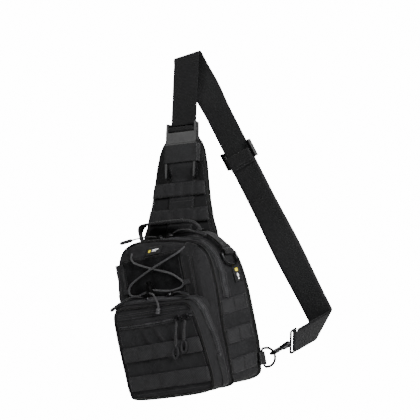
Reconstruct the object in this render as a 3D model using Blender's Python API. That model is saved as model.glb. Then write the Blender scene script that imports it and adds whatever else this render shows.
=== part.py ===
"""Tactical sling bag, hanging from the top fold of its shoulder strap.

The world origin is the middle of the strap's top fold, +Z is up, and the bag's front faces -Y.
Five frames carry the parts: the body frame (origin at the bottom of the back panel's rear face), the
neck frame (origin where the padded neck leaves the body), and the glide, eye and hook frames, which are
set on the strap. The strap itself is built in world coordinates.
All dimensions below are millimetres; make_object() turns them into metres.
"""
import math

import bmesh
import bpy
from mathutils import Matrix, Vector

MM = 0.001
GAP = 0.3                      # air between neighbouring pieces

# posture of the hanging bag
BODY_ORIGIN = (69.7, -31.0, -577.2)
BODY_TILT = -13.0              # degrees about Y, the lower hook pulls the body sideways
NECK_ORIGIN = (11.9, -37.0, -319.5)
NECK_YAW, NECK_TILT, NECK_LEAN = 8.0, -6.0, -14.0

# body
BODY_HEIGHT = 264.0
BACK_HALF_WIDTH = 119.0
BACK_THICKNESS = 12.0
MAIN_FRONT_Y = -92.0           # flat front of the main compartment
MAIN_EDGE_Y = -70.0            # bound edge between its front panel and its gusset
POCKET_FRONT_Y = -118.0
POCKET_TOP = 160.0
FRONT_HALF_WIDTH = 88.0

# webbing and trim
PALS = 25.0                    # height of a webbing row and of the space between rows
SIDE_ROWS = (16.0, 66.0, 116.0)
WEB_THICKNESS = 1.8
STRAP_WIDTH = 50.0
STRAP_THICKNESS = 2.2
BUNGEE_DIAMETER = 3.2
LOCK_CENTRE = (-8.0, -106.5, 181.0)

# zips
MAIN_ZIP_Y = -52.0
MAIN_ZIP_WIDTH = 9.0
MAIN_ZIP_END_Z = 146.0
POCKET_ZIP_WIDTH = 7.0
POCKET_ZIP_END_Z = 48.0
SMALL_ZIP_Z = 126.0
SMALL_ZIP_WIDTH = 6.0
CHAIN_THICKNESS = 2.0

# buckle, in the neck frame
BUCKLE_X, BUCKLE_Y = 8.0, -17.0
BUCKLE_HALF_THICKNESS = 6.0
FEMALE_BAR_Z = 132.0
FEMALE_Z = (137.5, 166.0)
MALE_CAP_Z = (166.6, 186.6)
LADDER_BAR_Z = 192.5
TOP_BAR_Z = 202.0

# strap route
TOP_CREASE_RISE = 13.8         # degrees between the top fold and the level
BACK_RUN_DIRECTION = (0.4501, 0.1407, -0.8819)
BACK_RUN_LENGTH = 525.0
GLIDE_DISTANCE = 198.0         # from the top fold to the tri-glide
GLIDE_TRAVEL = 60.0
FOLD_RADIUS = 4.0
LOWER_FOLD_RADIUS = 5.5
LAYER_STEP = 2.8               # between the two layers of the doubled run
EYE_WRAP = 3.6                 # strap's middle surface round the eye's bar

# rings and hook
RING_WIRE = 4.4
RING_HALF_WIDTH = 16.0
RING_LENGTH = 24.0
LOWER_RING_ANGLE = 65.0        # degrees the hooked ring points behind the bag's right side
LOWER_RING_PIVOT = (126.0, -5.0, 32.0)
RING_PULL_RISE = 20.0          # degrees above the ring's middle at which the hook holds its arc
HOOK_WIRE = 5.0
HOOK_REACH = 46.8              # from the eye's bar to the ring held in the bight
EYE_WIDTH = 56.0
BIGHT_RADIUS = 9.0


# ---------------------------------------------------------------- helpers

def material(name, colour, roughness, metallic=0.0):
    """Return the named Principled material, made on first use."""
    found = bpy.data.materials.get(name)
    if found:
        return found
    new = bpy.data.materials.new(name)
    new.use_nodes = True
    shader = new.node_tree.nodes["Principled BSDF"]
    shader.inputs["Base Color"].default_value = (*colour, 1.0)
    shader.inputs["Roughness"].default_value = roughness
    shader.inputs["Metallic"].default_value = metallic
    new.diffuse_color = (*colour, 1.0)
    return new


def shell_fabric():
    return material("shell_fabric", (0.022, 0.022, 0.024), 0.8)


def webbing():
    return material("webbing", (0.028, 0.028, 0.03), 0.7)


def plastic():
    return material("plastic", (0.03, 0.03, 0.032), 0.4)


def black_metal():
    return material("black_metal", (0.045, 0.045, 0.05), 0.35, 1.0)


def zip_teeth():
    return material("zip_teeth", (0.05, 0.05, 0.055), 0.45)


def cord_fabric():
    return material("cord_fabric", (0.11, 0.11, 0.115), 0.8)


def make_frame(name, origin, rotation):
    """Return an empty whose axes are those of one of the bag's frames."""
    empty = bpy.data.objects.new(name, None)
    empty.matrix_world = Matrix.Translation(Vector(origin) * MM) @ rotation.to_4x4()
    bpy.context.collection.objects.link(empty)
    return empty


def rotation(yaw=0.0, tilt=0.0, lean=0.0):
    turn = Matrix.Rotation(math.radians(yaw), 3, "Z")
    turn = turn @ Matrix.Rotation(math.radians(tilt), 3, "Y")
    return turn @ Matrix.Rotation(math.radians(lean), 3, "X")


def make_object(name, solid, finish, frame=None, origin=(0.0, 0.0, 0.0), smooth=False):
    """Turn a bmesh in frame millimetres into a named object whose origin is at the given point."""
    origin = Vector(origin)
    bmesh.ops.recalc_face_normals(solid, faces=solid.faces)
    for vertex in solid.verts:
        vertex.co = (vertex.co - origin) * MM
    mesh = bpy.data.meshes.new(name)
    solid.to_mesh(mesh)
    solid.free()
    if smooth:
        mesh.shade_smooth()
        mesh.set_sharp_from_angle(angle=math.radians(40))
    mesh.materials.append(finish)
    item = bpy.data.objects.new(name, mesh)
    bpy.context.collection.objects.link(item)
    item.location = origin * MM
    if frame:
        item.parent = frame
    return item


def hide_helper(item):
    item.hide_render = True
    item.display_type = "WIRE"
    return item


def boolean(item, helper, operation="DIFFERENCE"):
    modifier = item.modifiers.new("boolean", "BOOLEAN")
    modifier.operation = operation
    modifier.solver = "EXACT"
    modifier.object = hide_helper(helper)


def loft(rings, closed=False):
    """Return a solid through rings of equal length; capped at both ends unless closed."""
    solid = bmesh.new()
    rows = [[solid.verts.new(Vector(point)) for point in ring] for ring in rings]
    count = len(rows[0])
    pairs = list(zip(rows, rows[1:]))
    if closed:
        pairs.append((rows[-1], rows[0]))
    for low, high in pairs:
        for i in range(count):
            j = (i + 1) % count
            solid.faces.new((low[i], low[j], high[j], high[i]))
    if not closed:
        solid.faces.new(rows[0])
        solid.faces.new(rows[-1])
    return solid


def box(x, y, z):
    """Return a box from its (low, high) pairs."""
    low = [(x[0], y[0], z[0]), (x[1], y[0], z[0]), (x[1], y[1], z[0]), (x[0], y[1], z[0])]
    high = [(px, py, z[1]) for px, py, _ in low]
    return loft([low, high])


def extrude_xz(outline, y):
    """Return an outline of (x, z) points extruded between two y values."""
    return loft([[(px, side, pz) for px, pz in outline] for side in y])


def arc(centre, radius, start, end, steps):
    """Return (a, b) points on an arc, angles in degrees."""
    points = []
    for i in range(steps + 1):
        angle = math.radians(start + (end - start) * i / steps)
        points.append((centre[0] + radius * math.cos(angle), centre[1] + radius * math.sin(angle)))
    return points


def rounded_outline(half_width, bottom, top, bottom_radius, top_radius, steps=5):
    """Return the (x, z) outline of a panel with round corners, the same point count every time."""
    low_x, high_x = half_width - bottom_radius, half_width - top_radius
    low_z, high_z = bottom + bottom_radius, top - top_radius
    points = arc((low_x, low_z), bottom_radius, -90, 0, steps)
    points += arc((high_x, high_z), top_radius, 0, 90, steps)
    points += arc((-high_x, high_z), top_radius, 90, 180, steps)
    points += arc((-low_x, low_z), bottom_radius, 180, 270, steps)
    return points


def ring_xz(outline, y):
    return [(px, y, pz) for px, pz in outline]


def sweep(points, radius, sides=8, closed=False):
    """Return a round tube along 3-D points, its section turned along with the path."""
    path = [Vector(point) for point in points]
    count = len(path)
    rings = []
    previous = None
    for i, centre in enumerate(path):
        before = path[i - 1] if closed or i else path[i]
        after = path[(i + 1) % count] if closed or i < count - 1 else path[i]
        along = (after - before).normalized()
        if previous is None:
            seed = Vector((0, 0, 1)) if abs(along.z) < 0.9 else Vector((0, 1, 0))
            side = along.cross(seed).normalized()
        else:
            side = (previous - along * previous.dot(along)).normalized()
        previous = side
        other = along.cross(side)
        ring = []
        for k in range(sides):
            angle = 2 * math.pi * k / sides
            ring.append(centre + side * (radius * math.cos(angle)) + other * (radius * math.sin(angle)))
        rings.append(ring)
    return loft(rings, closed=closed)


def ribbon(stations, thickness):
    """Return a flat strap through (left edge, right edge, face normal) stations."""
    rings = []
    for left, right, normal in stations:
        half = Vector(normal).normalized() * (thickness / 2)
        left, right = Vector(left), Vector(right)
        rings.append([left - half, right - half, right + half, left + half])
    return loft(rings)


def band(path, normals, width_axis, width, thickness):
    """Return a strap of constant width that follows a path, its width along one fixed axis."""
    across = Vector(width_axis).normalized() * (width / 2)
    stations = [(Vector(p) - across, Vector(p) + across, n) for p, n in zip(path, normals)]
    return ribbon(stations, thickness)


def path_normals(path, width_axis):
    """Return the face normals of a band along the path."""
    axis = Vector(width_axis)
    normals = []
    for i in range(len(path)):
        before = Vector(path[max(i - 1, 0)])
        after = Vector(path[min(i + 1, len(path) - 1)])
        normals.append((after - before).cross(axis).normalized())
    return normals


def web_band(path, width_axis, width, thickness=WEB_THICKNESS):
    return band(path, path_normals(path, width_axis), width_axis, width, thickness)


# ---------------------------------------------------------------- body panels

def main_rings(offset=0.0):
    """Return the main compartment's outlines from its back to its front, grown by an offset."""
    sections = [
        (-BACK_THICKNESS - GAP, 116.0, 4.0, 261.0, 25.0, 75.0),
        (-48.0, 109.0, 2.0, BODY_HEIGHT, 28.0, 70.0),
        (MAIN_EDGE_Y, 105.0, 2.0, 262.0, 30.0, 70.0),
        (MAIN_FRONT_Y, FRONT_HALF_WIDTH, 8.0, 236.0, 30.0, 30.0),
    ]
    rings = []
    for y, half_width, low, high, low_radius, high_radius in sections:
        outline = rounded_outline(half_width + offset, low - offset, high + offset,
                                  low_radius + offset, high_radius + offset)
        rings.append(ring_xz(outline, y - (offset if y == MAIN_FRONT_Y else 0.0)))
    return rings


def build_panels(body):
    """Back panel, main compartment and front pocket."""
    outline = rounded_outline(BACK_HALF_WIDTH, 2.0, 262.0, 26.0, 60.0)
    inset = rounded_outline(BACK_HALF_WIDTH - 4.0, 6.0, 258.0, 22.0, 56.0)
    rings = [ring_xz(outline, -BACK_THICKNESS), ring_xz(outline, -4.0), ring_xz(inset, 0.0)]
    make_object("back_panel", loft(rings), shell_fabric(), body)
    make_object("main_compartment", loft(main_rings()), shell_fabric(), body)

    face = rounded_outline(86.0, 4.0, POCKET_TOP - 4.0, 22.0, 34.0)
    edge = rounded_outline(90.0, 0.5, POCKET_TOP, 24.0, 36.0)
    root = rounded_outline(97.0, 0.5, POCKET_TOP + 2.0, 26.0, 36.0)
    rings = [ring_xz(face, POCKET_FRONT_Y), ring_xz(edge, POCKET_FRONT_Y + 6.0), ring_xz(root, -74.0)]
    pocket = make_object("front_pocket", loft(rings), shell_fabric(), body)
    cutter = make_object("pocket_cutter", loft(main_rings(GAP)), shell_fabric(), body)
    boolean(pocket, cutter)


def build_front_trim(body):
    """Loop panel, vertical strips, label patch and side label."""
    face = MAIN_FRONT_Y - GAP
    low, high = POCKET_TOP + 3.0, 231.0
    y = (face - WEB_THICKNESS, face)
    make_object("front_strip_left", box((-87.0, -66.0), y, (low, high - 22)), webbing(), body)
    make_object("front_strip_right", box((58.0, 80.0), y, (low, high - 6)), webbing(), body)
    make_object("loop_panel", box((-65.3, 57.3), (face - 1.6, face), (low, high + 2)), shell_fabric(), body)

    slope = math.atan2(-26.0, 22.0)
    across, up = Vector((1, 0, 0)), Vector((0, math.cos(slope + math.pi / 2), math.sin(slope + math.pi / 2)))
    outward = across.cross(up)
    centre = Vector((1.0, -81.0, 249.0)) + outward * 1.5
    half_width, half_height = 15.0, 7.0
    corners = [(-1, -1), (1, -1), (1, 1), (-1, 1)]
    flat = [centre + across * (half_width * a) + up * (half_height * b) for a, b in corners]
    make_object("label_patch", loft([flat, [p + outward * 1.6 for p in flat]]), webbing(), body)

    section = [(117.0, -12.7), (114.4, -30.0), (115.8, -30.4), (118.4, -13.0)]
    tag = loft([[(x, y, z) for x, y in section] for z in (165.0, 192.0)])
    make_object("side_label", tag, webbing(), body)


def build_rows(body):
    """Horizontal webbing rows on the pocket front and on both sides of the body."""
    face = POCKET_FRONT_Y - GAP
    for name, low in (("pocket_webbing_upper", 65.0), ("pocket_webbing_lower", 15.0)):
        slab = box((-85.0, 85.0), (face - WEB_THICKNESS, face), (low, low + PALS))
        make_object(name, slab, webbing(), body)
    for side, label in ((1, "right"), (-1, "left")):
        make_object("side_webbing_" + label, side_webbing(side), webbing(), body)


def side_webbing(side):
    """Return the three rows of one side, joined along their rear ends by the seam tape."""
    rear, tape = -14.0, -18.0
    tape_low, tape_high = SIDE_ROWS[0], SIDE_ROWS[-1] + PALS
    comb = [(rear, tape_low), (rear, tape_high)]
    for low in reversed(SIDE_ROWS):
        comb += [(-67.0, low + PALS), (-67.0, low)]
        if low > SIDE_ROWS[0]:
            comb += [(tape, low), (tape, low - PALS)]
    base = 107.0
    slope = (118.0 - base) / (rear + 67.0)
    layers = []
    for thickness in (0.0, WEB_THICKNESS):
        layers.append([(side * (base + slope * (y + 67.0) + thickness), y, z) for y, z in comb])
    return loft(layers)


# ---------------------------------------------------------------- zips

def main_zip_path():
    """Return the main zip's line over the gusset, from its right end to its left end."""
    half_width, top, radius = 110.4, BODY_HEIGHT + 1.4, 71.0
    points = [(half_width, MAIN_ZIP_END_Z), (half_width, top - radius)]
    points += arc((half_width - radius, top - radius), radius, 9, 90, 8)
    points += arc((radius - half_width, top - radius), radius, 90, 171, 8)
    points += [(-half_width, top - radius), (-half_width, MAIN_ZIP_END_Z)]
    return [(x, MAIN_ZIP_Y, z) for x, z in points]


def pocket_zip_path():
    """Return the pocket zip's line, which sinks towards the body as it runs down the sides."""
    half_width, top, radius = 96.0, POCKET_TOP + 3.2, 37.0
    points = [(half_width, POCKET_ZIP_END_Z), (half_width, top - radius)]
    points += arc((half_width - radius, top - radius), radius, 11, 90, 7)
    points += arc((radius - half_width, top - radius), radius, 90, 169, 7)
    points += [(-half_width, top - radius), (-half_width, POCKET_ZIP_END_Z)]
    drop = POCKET_TOP - POCKET_ZIP_END_Z
    return [(x, -103.0 + 12.0 * max(0.0, POCKET_TOP - z) / drop, z) for x, z in points]


def build_zips(body):
    main = web_band(main_zip_path(), (0, 1, 0), MAIN_ZIP_WIDTH, CHAIN_THICKNESS)
    make_object("main_zip_chain", main, zip_teeth(), body)
    pocket = web_band(pocket_zip_path(), (0, 1, 0), POCKET_ZIP_WIDTH, CHAIN_THICKNESS)
    make_object("pocket_zip_chain", pocket, zip_teeth(), body)
    face = POCKET_FRONT_Y - GAP
    low, high = SMALL_ZIP_Z - SMALL_ZIP_WIDTH / 2, SMALL_ZIP_Z + SMALL_ZIP_WIDTH / 2
    small = box((-82.0, 82.0), (face - CHAIN_THICKNESS, face), (low, high))
    make_object("small_zip_chain", small, zip_teeth(), body)


def slider(name, frame, place, along, outward, width):
    """Zip slider: a bridge over the chain with an eye post on it."""
    along, outward = Vector(along).normalized(), Vector(outward).normalized()
    across = along.cross(outward)
    base = Vector(place) + outward * (CHAIN_THICKNESS / 2 + 0.4)
    profile = [(-7.0, 0.0), (7.0, 0.0), (7.0, 1.4), (3.4, 2.4), (3.0, 5.2), (-3.0, 5.2), (-3.4, 2.4), (-7.0, 1.4)]
    half = width / 2
    rings = []
    for offset in (-half, -1.6, 1.6, half):
        shrink = 0.55 if abs(offset) == half else 1.0
        rings.append([base + across * offset + along * (a * shrink) + outward * max(b * shrink, b and 1.2)
                      for a, b in profile])
    make_object(name, loft(rings), black_metal(), frame, origin=place)


def pull(name, frame, pivot, direction, length, side, grip=(16.0, 3.6)):
    """Zip pull: a doubled cord from the slider's eye to a moulded grip, in one stiff piece."""
    direction, side = Vector(direction).normalized(), Vector(side).normalized()
    grip_length, grip_radius = grip
    pivot = Vector(pivot)
    start = pivot + direction * 4.2
    stations = [(0.0, 1.3, 2.4), (length - grip_length, 1.3, 2.4), (length - grip_length + 2, grip_radius * 0.7,
                grip_radius), (length - 2, grip_radius * 0.7, grip_radius), (length, 1.6, 2.4)]
    other = direction.cross(side)
    rings = []
    for distance, thin, wide in stations:
        centre = start + direction * distance
        ring = []
        for k in range(8):
            angle = 2 * math.pi * (k + 0.5) / 8
            ring.append(centre + side * (wide * math.cos(angle)) + other * (thin * math.sin(angle)))
        rings.append(ring)
    make_object(name, loft(rings), cord_fabric(), frame, origin=pivot)


def build_sliders(body):
    """Six sliders, two on each zip, and their pulls, which lie or hang where the cord lets them."""
    top = BODY_HEIGHT + 1.4
    for name, x, direction, length in (("main_left", -8.0, (-1.0, 0.0, 0.0), 62.0),
                                       ("main_right", 14.0, (1.0, 0.0, 0.0), 62.0)):
        place = (x, MAIN_ZIP_Y, top)
        slider(name + "_slider", body, place, (1, 0, 0), (0, 0, 1), 11.0)
        pivot = (x + direction[0] * 5.5, MAIN_ZIP_Y, top + 4.4)
        pull(name + "_pull", body, pivot, direction, length, (0, 1, 0))
    top = POCKET_TOP + 3.2
    for name, x, direction, length in (("pocket_left", -19.0, (-1.0, 0.0, 0.0), 56.0),
                                       ("pocket_right", 30.0, (1.0, 0.0, 0.0), 40.0)):
        place = (x, -103.0, top)
        slider(name + "_slider", body, place, (1, 0, 0), (0, 0, 1), 9.0)
        pivot = (x + direction[0] * 5.5, -103.0, top + 4.4)
        pull(name + "_pull", body, pivot, direction, length, (0, 1, 0), (14.0, 3.2))
    face = POCKET_FRONT_Y - GAP - CHAIN_THICKNESS / 2
    plumb = body.matrix_world.to_3x3().inverted() @ Vector((0, 0, -1))
    for name, x, length in (("small_left", 50.0, 58.0), ("small_right", 68.0, 50.0)):
        place = (x, face, SMALL_ZIP_Z)
        slider(name + "_slider", body, place, (1, 0, 0), (0, -1, 0), 8.0)
        pivot = (x, face - 5.6, SMALL_ZIP_Z - 5.0)
        pull(name + "_pull", body, pivot, plumb, length, (1, 0, 0), (13.0, 4.2))


# ---------------------------------------------------------------- bungee

def turned(centre, stations, sides=10):
    """Return a turned solid about a vertical line through the centre, from (height, radius) stations."""
    rings = []
    for height, radius in stations:
        rings.append([(centre[0] + a, centre[1] + b, centre[2] + height)
                      for a, b in arc((0, 0), radius, 0, 360 - 360 / sides, sides - 1)])
    return loft(rings)


def build_bungee(body):
    """Crossed elastic cord over the loop panel, threaded through the bore of its cord lock."""
    y, under, over = -98.2, -97.2, -101.6
    lock = Vector(LOCK_CENTRE)
    route = [(56, y, 238), (54, y, 231), (40, y, 225), (20, over + 1, 218), (2, over, 213), (-18, y, 206),
             (-42, y, 199), (-58, y, 188), (-60, y, 178), (-52, -101, 173), (-34, -104.5, 176), (-20, lock.y, 181),
             (-10, lock.y, 181), (0, lock.y, 181), (14, -103.5, 178), (34, -100, 175), (50, y, 178), (56, y, 186),
             (50, y, 195), (30, y, 204), (6, under, 211), (-20, under, 219), (-42, y, 226), (-52, y, 236)]
    cord = sweep(smooth_path(route, 78), BUNGEE_DIAMETER / 2, 8)
    make_object("bungee_cord", cord, cord_fabric(), body, smooth=True)

    bore = sweep([lock + Vector((-12, 0, 0)), lock + Vector((12, 0, 0))], 2.3, 10)
    barrel = turned(lock, [(-9.0, 4.8), (-8.0, 6.2), (0.0, 7.2), (6.5, 6.6), (7.5, 5.8)], 12)
    barrel = make_object("cord_lock_body", barrel, plastic(), body, smooth=True)
    boolean(barrel, make_object("lock_bore", bore, plastic(), body))
    chamber = turned(lock, [(-7.8, 4.4), (9.0, 4.4)], 12)
    boolean(barrel, make_object("lock_chamber", chamber, plastic(), body))

    plunger = turned(lock, [(-4.2, 4.0), (10.3, 4.0), (11.0, 5.4), (13.0, 5.4), (14.0, 4.2)], 12)
    plunger = make_object("cord_lock_button", plunger, plastic(), body, origin=lock, smooth=True)
    slot = box((lock.x - 6, lock.x + 6), (lock.y - 2.2, lock.y + 2.2), (lock.z - 2.3, lock.z + 5.2))
    boolean(plunger, make_object("plunger_slot", slot, plastic(), body))

    coil = []
    turns, steps = 2, 10
    for i in range(turns * steps + 1):
        angle = 2 * math.pi * i / steps
        coil.append(lock + Vector((3.2 * math.cos(angle), 3.2 * math.sin(angle),
                                   -7.4 + 2.8 * i / (turns * steps))))
    make_object("cord_lock_spring", sweep(coil, 0.25, 6), black_metal(), body)


def smooth_path(points, count):
    """Return points on a smooth curve through the given ones, evenly spread."""
    path = [Vector(point) for point in points]
    path = [path[0] * 2 - path[1]] + path + [path[-1] * 2 - path[-2]]
    dense = []
    for i in range(1, len(path) - 2):
        a, b, c, d = path[i - 1:i + 3]
        for k in range(12):
            t = k / 12
            dense.append(0.5 * ((2 * b) + (c - a) * t + (2 * a - 5 * b + 4 * c - d) * t * t
                                + (3 * b - a - 3 * c + d) * t ** 3))
    dense.append(path[-2])
    lengths = [0.0]
    for before, after in zip(dense, dense[1:]):
        lengths.append(lengths[-1] + (after - before).length)
    spread = []
    k = 0
    for i in range(count):
        target = lengths[-1] * i / (count - 1)
        while k < len(dense) - 2 and lengths[k + 1] < target:
            k += 1
        span = lengths[k + 1] - lengths[k]
        spread.append(dense[k].lerp(dense[k + 1], (target - lengths[k]) / span))
    return spread


def build_tail(body):
    """Free end of the bungee, knotted into a small loop below the cord lock."""
    route = [(-4, -114.0, 175), (4, -117.5, 173), (11, -120.5, 167), (15, -122.0, 159), (16, -122.3, 150),
             (13, -122.3, 142)]
    curve = bpy.data.curves.new("bungee_tail", "CURVE")
    curve.dimensions = "3D"
    curve.bevel_depth = BUNGEE_DIAMETER / 2 * MM
    curve.bevel_resolution = 2
    curve.use_fill_caps = True
    points = smooth_path(route, 8)
    spline = curve.splines.new("POLY")
    spline.points.add(len(points) - 1)
    for target, point in zip(spline.points, points):
        target.co = (*(point * MM), 1.0)
    curve.materials.append(cord_fabric())
    tail = bpy.data.objects.new("bungee_tail", curve)
    bpy.context.collection.objects.link(tail)
    tail.parent = body


# ---------------------------------------------------------------- handle and rings

def build_handle(body):
    """Webbing carry handle: an arch whose feet are gathered to narrow bar tacks."""
    arch = [(-60, 267.5), (-60.5, 280), (-58, 292), (-50, 297.5), (0, 296), (44, 291), (56, 286), (64, 278),
            (66, 267.5)]
    widths = [8, 22, 25, 25, 25, 25, 25, 22, 8]
    path = [Vector((x, -34.0, z)) for x, z in arch]
    normals = path_normals(path, (0, 1, 0))
    stations = []
    for point, normal, width in zip(path, normals, widths):
        half = Vector((0, width / 2, 0))
        stations.append((point - half, point + half, normal))
    make_object("carry_handle", ribbon(stations, 2.6), webbing(), body, origin=(0, -34, 267.5))


def ring_points(half_width, length):
    """Return a D outline of (across, along) points, its flat bar at along = 0."""
    bar = [(-half_width + 3, 0.0), (half_width - 3, 0.0), (half_width, 2.5)]
    return bar + arc((0, length - half_width), half_width, 10, 170, 9) + [(-half_width, 2.5)]


def d_ring(name, frame, pivot, across, along):
    across, along = Vector(across).normalized(), Vector(along).normalized()
    points = [Vector(pivot) + across * a + along * b for a, b in ring_points(RING_HALF_WIDTH, RING_LENGTH)]
    ring = sweep(points, RING_WIRE / 2, 8, closed=True)
    make_object(name, ring, black_metal(), frame, origin=pivot, smooth=True)


def ring_tab(name, frame, pivot, across, toward, face, length):
    """Webbing tab: a loop round the ring's flat bar whose two ends lie together on the bag."""
    across, toward = Vector(across).normalized(), Vector(toward).normalized()
    face = Vector(face).normalized()
    pivot = Vector(pivot)
    reach = RING_WIRE / 2 + 0.5 + WEB_THICKNESS / 2
    path = [pivot - toward * length + face * 1.1, pivot - toward * 6 + face * 1.3]
    path += [pivot + toward * a + face * b for a, b in arc((0, 0), reach, 120, -120, 8)]
    path += [pivot - toward * 6 - face * 1.3, pivot - toward * length - face * 1.1]
    make_object(name, web_band(path, across, 22.0), webbing(), frame)


def build_rings(body):
    """Four D-rings: two on the upper sides, two standing out from the lower rear corners."""
    for side, label, lie in ((1, "right", 0.2), (-1, "left", 0.225)):
        pivot = (side * 112.5, -30.0, 220.5)
        across = (side * 0.18, 1, 0)
        toward = Vector((side * 0.43, 0, -0.9))
        face = toward.cross(Vector(across)) * side
        ring_tab("ring_tab_upper_" + label, body, pivot, across, toward, face, 13.0)
        d_ring("d_ring_upper_" + label, body, pivot, across, (side * lie, 0, -0.974))
    up = (0, 0, 1)
    places = (("right", LOWER_RING_PIVOT, hooked_ring_direction()),
              ("left", (-128.0, -6.0, 28.0), Vector((-1, 0, 0))))
    for label, pivot, out in places:
        pivot = Vector(pivot)
        ring_tab("ring_tab_lower_" + label, body, pivot, up, out, out.cross(Vector(up)), 7.0)
        d_ring("d_ring_lower_" + label, body, pivot, up, out)


def hooked_ring_direction():
    """Return the direction in which the pull of the hook makes its ring stand out from the bag."""
    angle = math.radians(LOWER_RING_ANGLE)
    return Vector((math.cos(angle), math.sin(angle), 0))


def ring_contact(body):
    """Return the world point on the hooked ring's arc where the strap pulls on it."""
    rise = math.radians(RING_PULL_RISE)
    out = hooked_ring_direction()
    point = Vector(LOWER_RING_PIVOT) + out * (RING_LENGTH - RING_HALF_WIDTH)
    point += (out * math.cos(rise) + Vector((0, 0, math.sin(rise)))) * RING_HALF_WIDTH
    return body.matrix_world @ (point * MM) / MM


# ---------------------------------------------------------------- neck

def build_neck(neck, body):
    """Padded neck panel, its two webbing rows and the webbing that anchors the buckle."""
    sections = [(-16.0, 76.0), (8.0, 71.5), (27.0, 65.0), (60.0, 58.0), (94.0, 54.0), (128.0, 50.0),
                (155.0, 45.0), (174.0, 37.0), (186.0, 25.0)]
    rings = []
    for z, half_width in sections:
        inner = half_width - 4.0
        profile = [(-inner, -6), (inner, -6), (half_width, -2), (half_width, 2), (inner, 6), (-inner, 6),
                   (-half_width, 2), (-half_width, -2)]
        rings.append([(x, y, z) for x, y in profile])
    panel = make_object("neck_panel", loft(rings), shell_fabric(), neck)
    cutter = box((-140.0, 140.0), (-70.0, 50.0), (200.0, BODY_HEIGHT + 0.6))
    boolean(panel, make_object("neck_cutter", cutter, shell_fabric(), body))

    layer = -6.0 - GAP - WEB_THICKNESS
    bar = (BUCKLE_Y, FEMALE_BAR_Z)
    path = [(layer + 0.9, 12.0), (layer + 0.9, 99.0), (-9.6, 105.0), (-16.0, 114.5), (-20.4, 124.0)]
    path += arc(bar, 3.7, 180, 0, 6)
    path += [(BUCKLE_Y + 3.6, 124.0), (BUCKLE_Y + 3.4, 118.0)]
    path = [(BUCKLE_X if z > 120 else BUCKLE_X * z / 120, y, z) for y, z in path]
    make_object("neck_anchor_webbing", web_band(path, (1, 0, 0), STRAP_WIDTH), webbing(), neck)
    face = layer - GAP
    for name, low, half_width in (("neck_webbing_upper", 72.0, 51.0), ("neck_webbing_lower", 24.0, 58.0)):
        slab = box((-half_width, half_width), (face - WEB_THICKNESS, face), (low, low + PALS))
        make_object(name, slab, webbing(), neck)


def mirrored(outline):
    """Return an (x, z) outline closed by its mirror image across x = 0."""
    return outline + [(-x, z) for x, z in reversed(outline)]


def buckle_slab(outline, low, high):
    """Extrude a half outline, mirrored, between two heights off the buckle's middle plane."""
    points = [(BUCKLE_X + x, z) for x, z in mirrored(outline)]
    return extrude_xz(points, (BUCKLE_Y + low, BUCKLE_Y + high))


def buckle_box(x, y, z):
    return box((BUCKLE_X + x[0], BUCKLE_X + x[1]), (BUCKLE_Y + y[0], BUCKLE_Y + y[1]), z)


def bar_across(half_width, z, radius, sides=10):
    ends = [(BUCKLE_X - half_width, BUCKLE_Y, z), (BUCKLE_X + half_width, BUCKLE_Y, z)]
    return sweep(ends, radius, sides)


def build_buckle(neck):
    """Side-release buckle: housing, plug with its ladder bars, two sprung arms and the elastic keeper."""
    half = BUCKLE_HALF_THICKNESS
    low, high = FEMALE_Z
    outline = [(31.0, high), (31.0, low + 4), (30.4, 120.0), (29.6, 106.0), (28.0, 102.0), (26.4, 104.0),
               (26.0, 118.0), (26.0, low)]
    female = make_object("buckle_female", buckle_slab(outline, -half, half), plastic(), neck)
    cavity = buckle_box((-28.6, 28.6), (-4.4, 4.4), (low + 2.5, high + 5))
    boolean(female, make_object("female_cavity", cavity, plastic(), neck))
    for side in (-1, 1):
        window = buckle_box(sorted((side * 26.5, side * 40.0)), (-10, 10), (low + 5.0, high - 8.0))
        boolean(female, make_object("female_window", window, plastic(), neck))
    bar = bar_across(28.0, FEMALE_BAR_Z, 2.4)
    boolean(female, make_object("female_bar", bar, plastic(), neck), "UNION")

    low, high = MALE_CAP_Z
    outline = [(30.0, low), (31.0, low + 4), (31.0, high), (30.4, TOP_BAR_Z + 2.2), (26.2, TOP_BAR_Z + 2.2),
               (26.2, high)]
    male = make_object("buckle_male", buckle_slab(outline, -half + 0.5, half - 0.5), plastic(), neck)
    tongue = buckle_box((-8.0, 8.0), (-3.2, 3.2), (143.0, low + 3))
    boolean(male, make_object("male_tongue", tongue, plastic(), neck), "UNION")
    for name, z, radius in (("ladder_bar", LADDER_BAR_Z, 2.4), ("top_bar", TOP_BAR_Z, 2.2)):
        boolean(male, make_object(name, bar_across(28.4, z, radius), plastic(), neck), "UNION")

    for side, label in ((1, "right"), (-1, "left")):
        outline = [(14.5, 165.2), (19.5, 165.2), (22.5, 160.5), (27.0, 157.0), (30.8, 153.5), (30.8, 148.5),
                   (27.4, 144.5), (24.9, 142.5), (21.5, 145.5), (17.5, 157.0), (14.5, 161.0)]
        points = [(BUCKLE_X + side * x, z) for x, z in outline]
        arm = extrude_xz(points, (BUCKLE_Y - 3.6, BUCKLE_Y + 3.6))
        hinge = (BUCKLE_X + side * 17.0, BUCKLE_Y, 163.0)
        make_object("buckle_arm_" + label, arm, plastic(), neck, origin=hinge)

    rings = []
    for z in (131.0, 163.0):
        inner = [(-33.4, -6.5), (33.4, -6.5), (33.4, 6.5), (-33.4, 6.5)]
        outer = [(-35.0, -8.1), (35.0, -8.1), (35.0, 8.1), (-35.0, 8.1)]
        rings.append(([(BUCKLE_X + x, BUCKLE_Y + y, z) for x, y in inner],
                      [(BUCKLE_X + x, BUCKLE_Y + y, z) for x, y in outer]))
    (inner_low, outer_low), (inner_high, outer_high) = rings
    wall = loft([inner_low, outer_low, outer_high, inner_high], closed=True)
    make_object("buckle_keeper", wall, webbing(), neck)


# ---------------------------------------------------------------- strap

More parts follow.
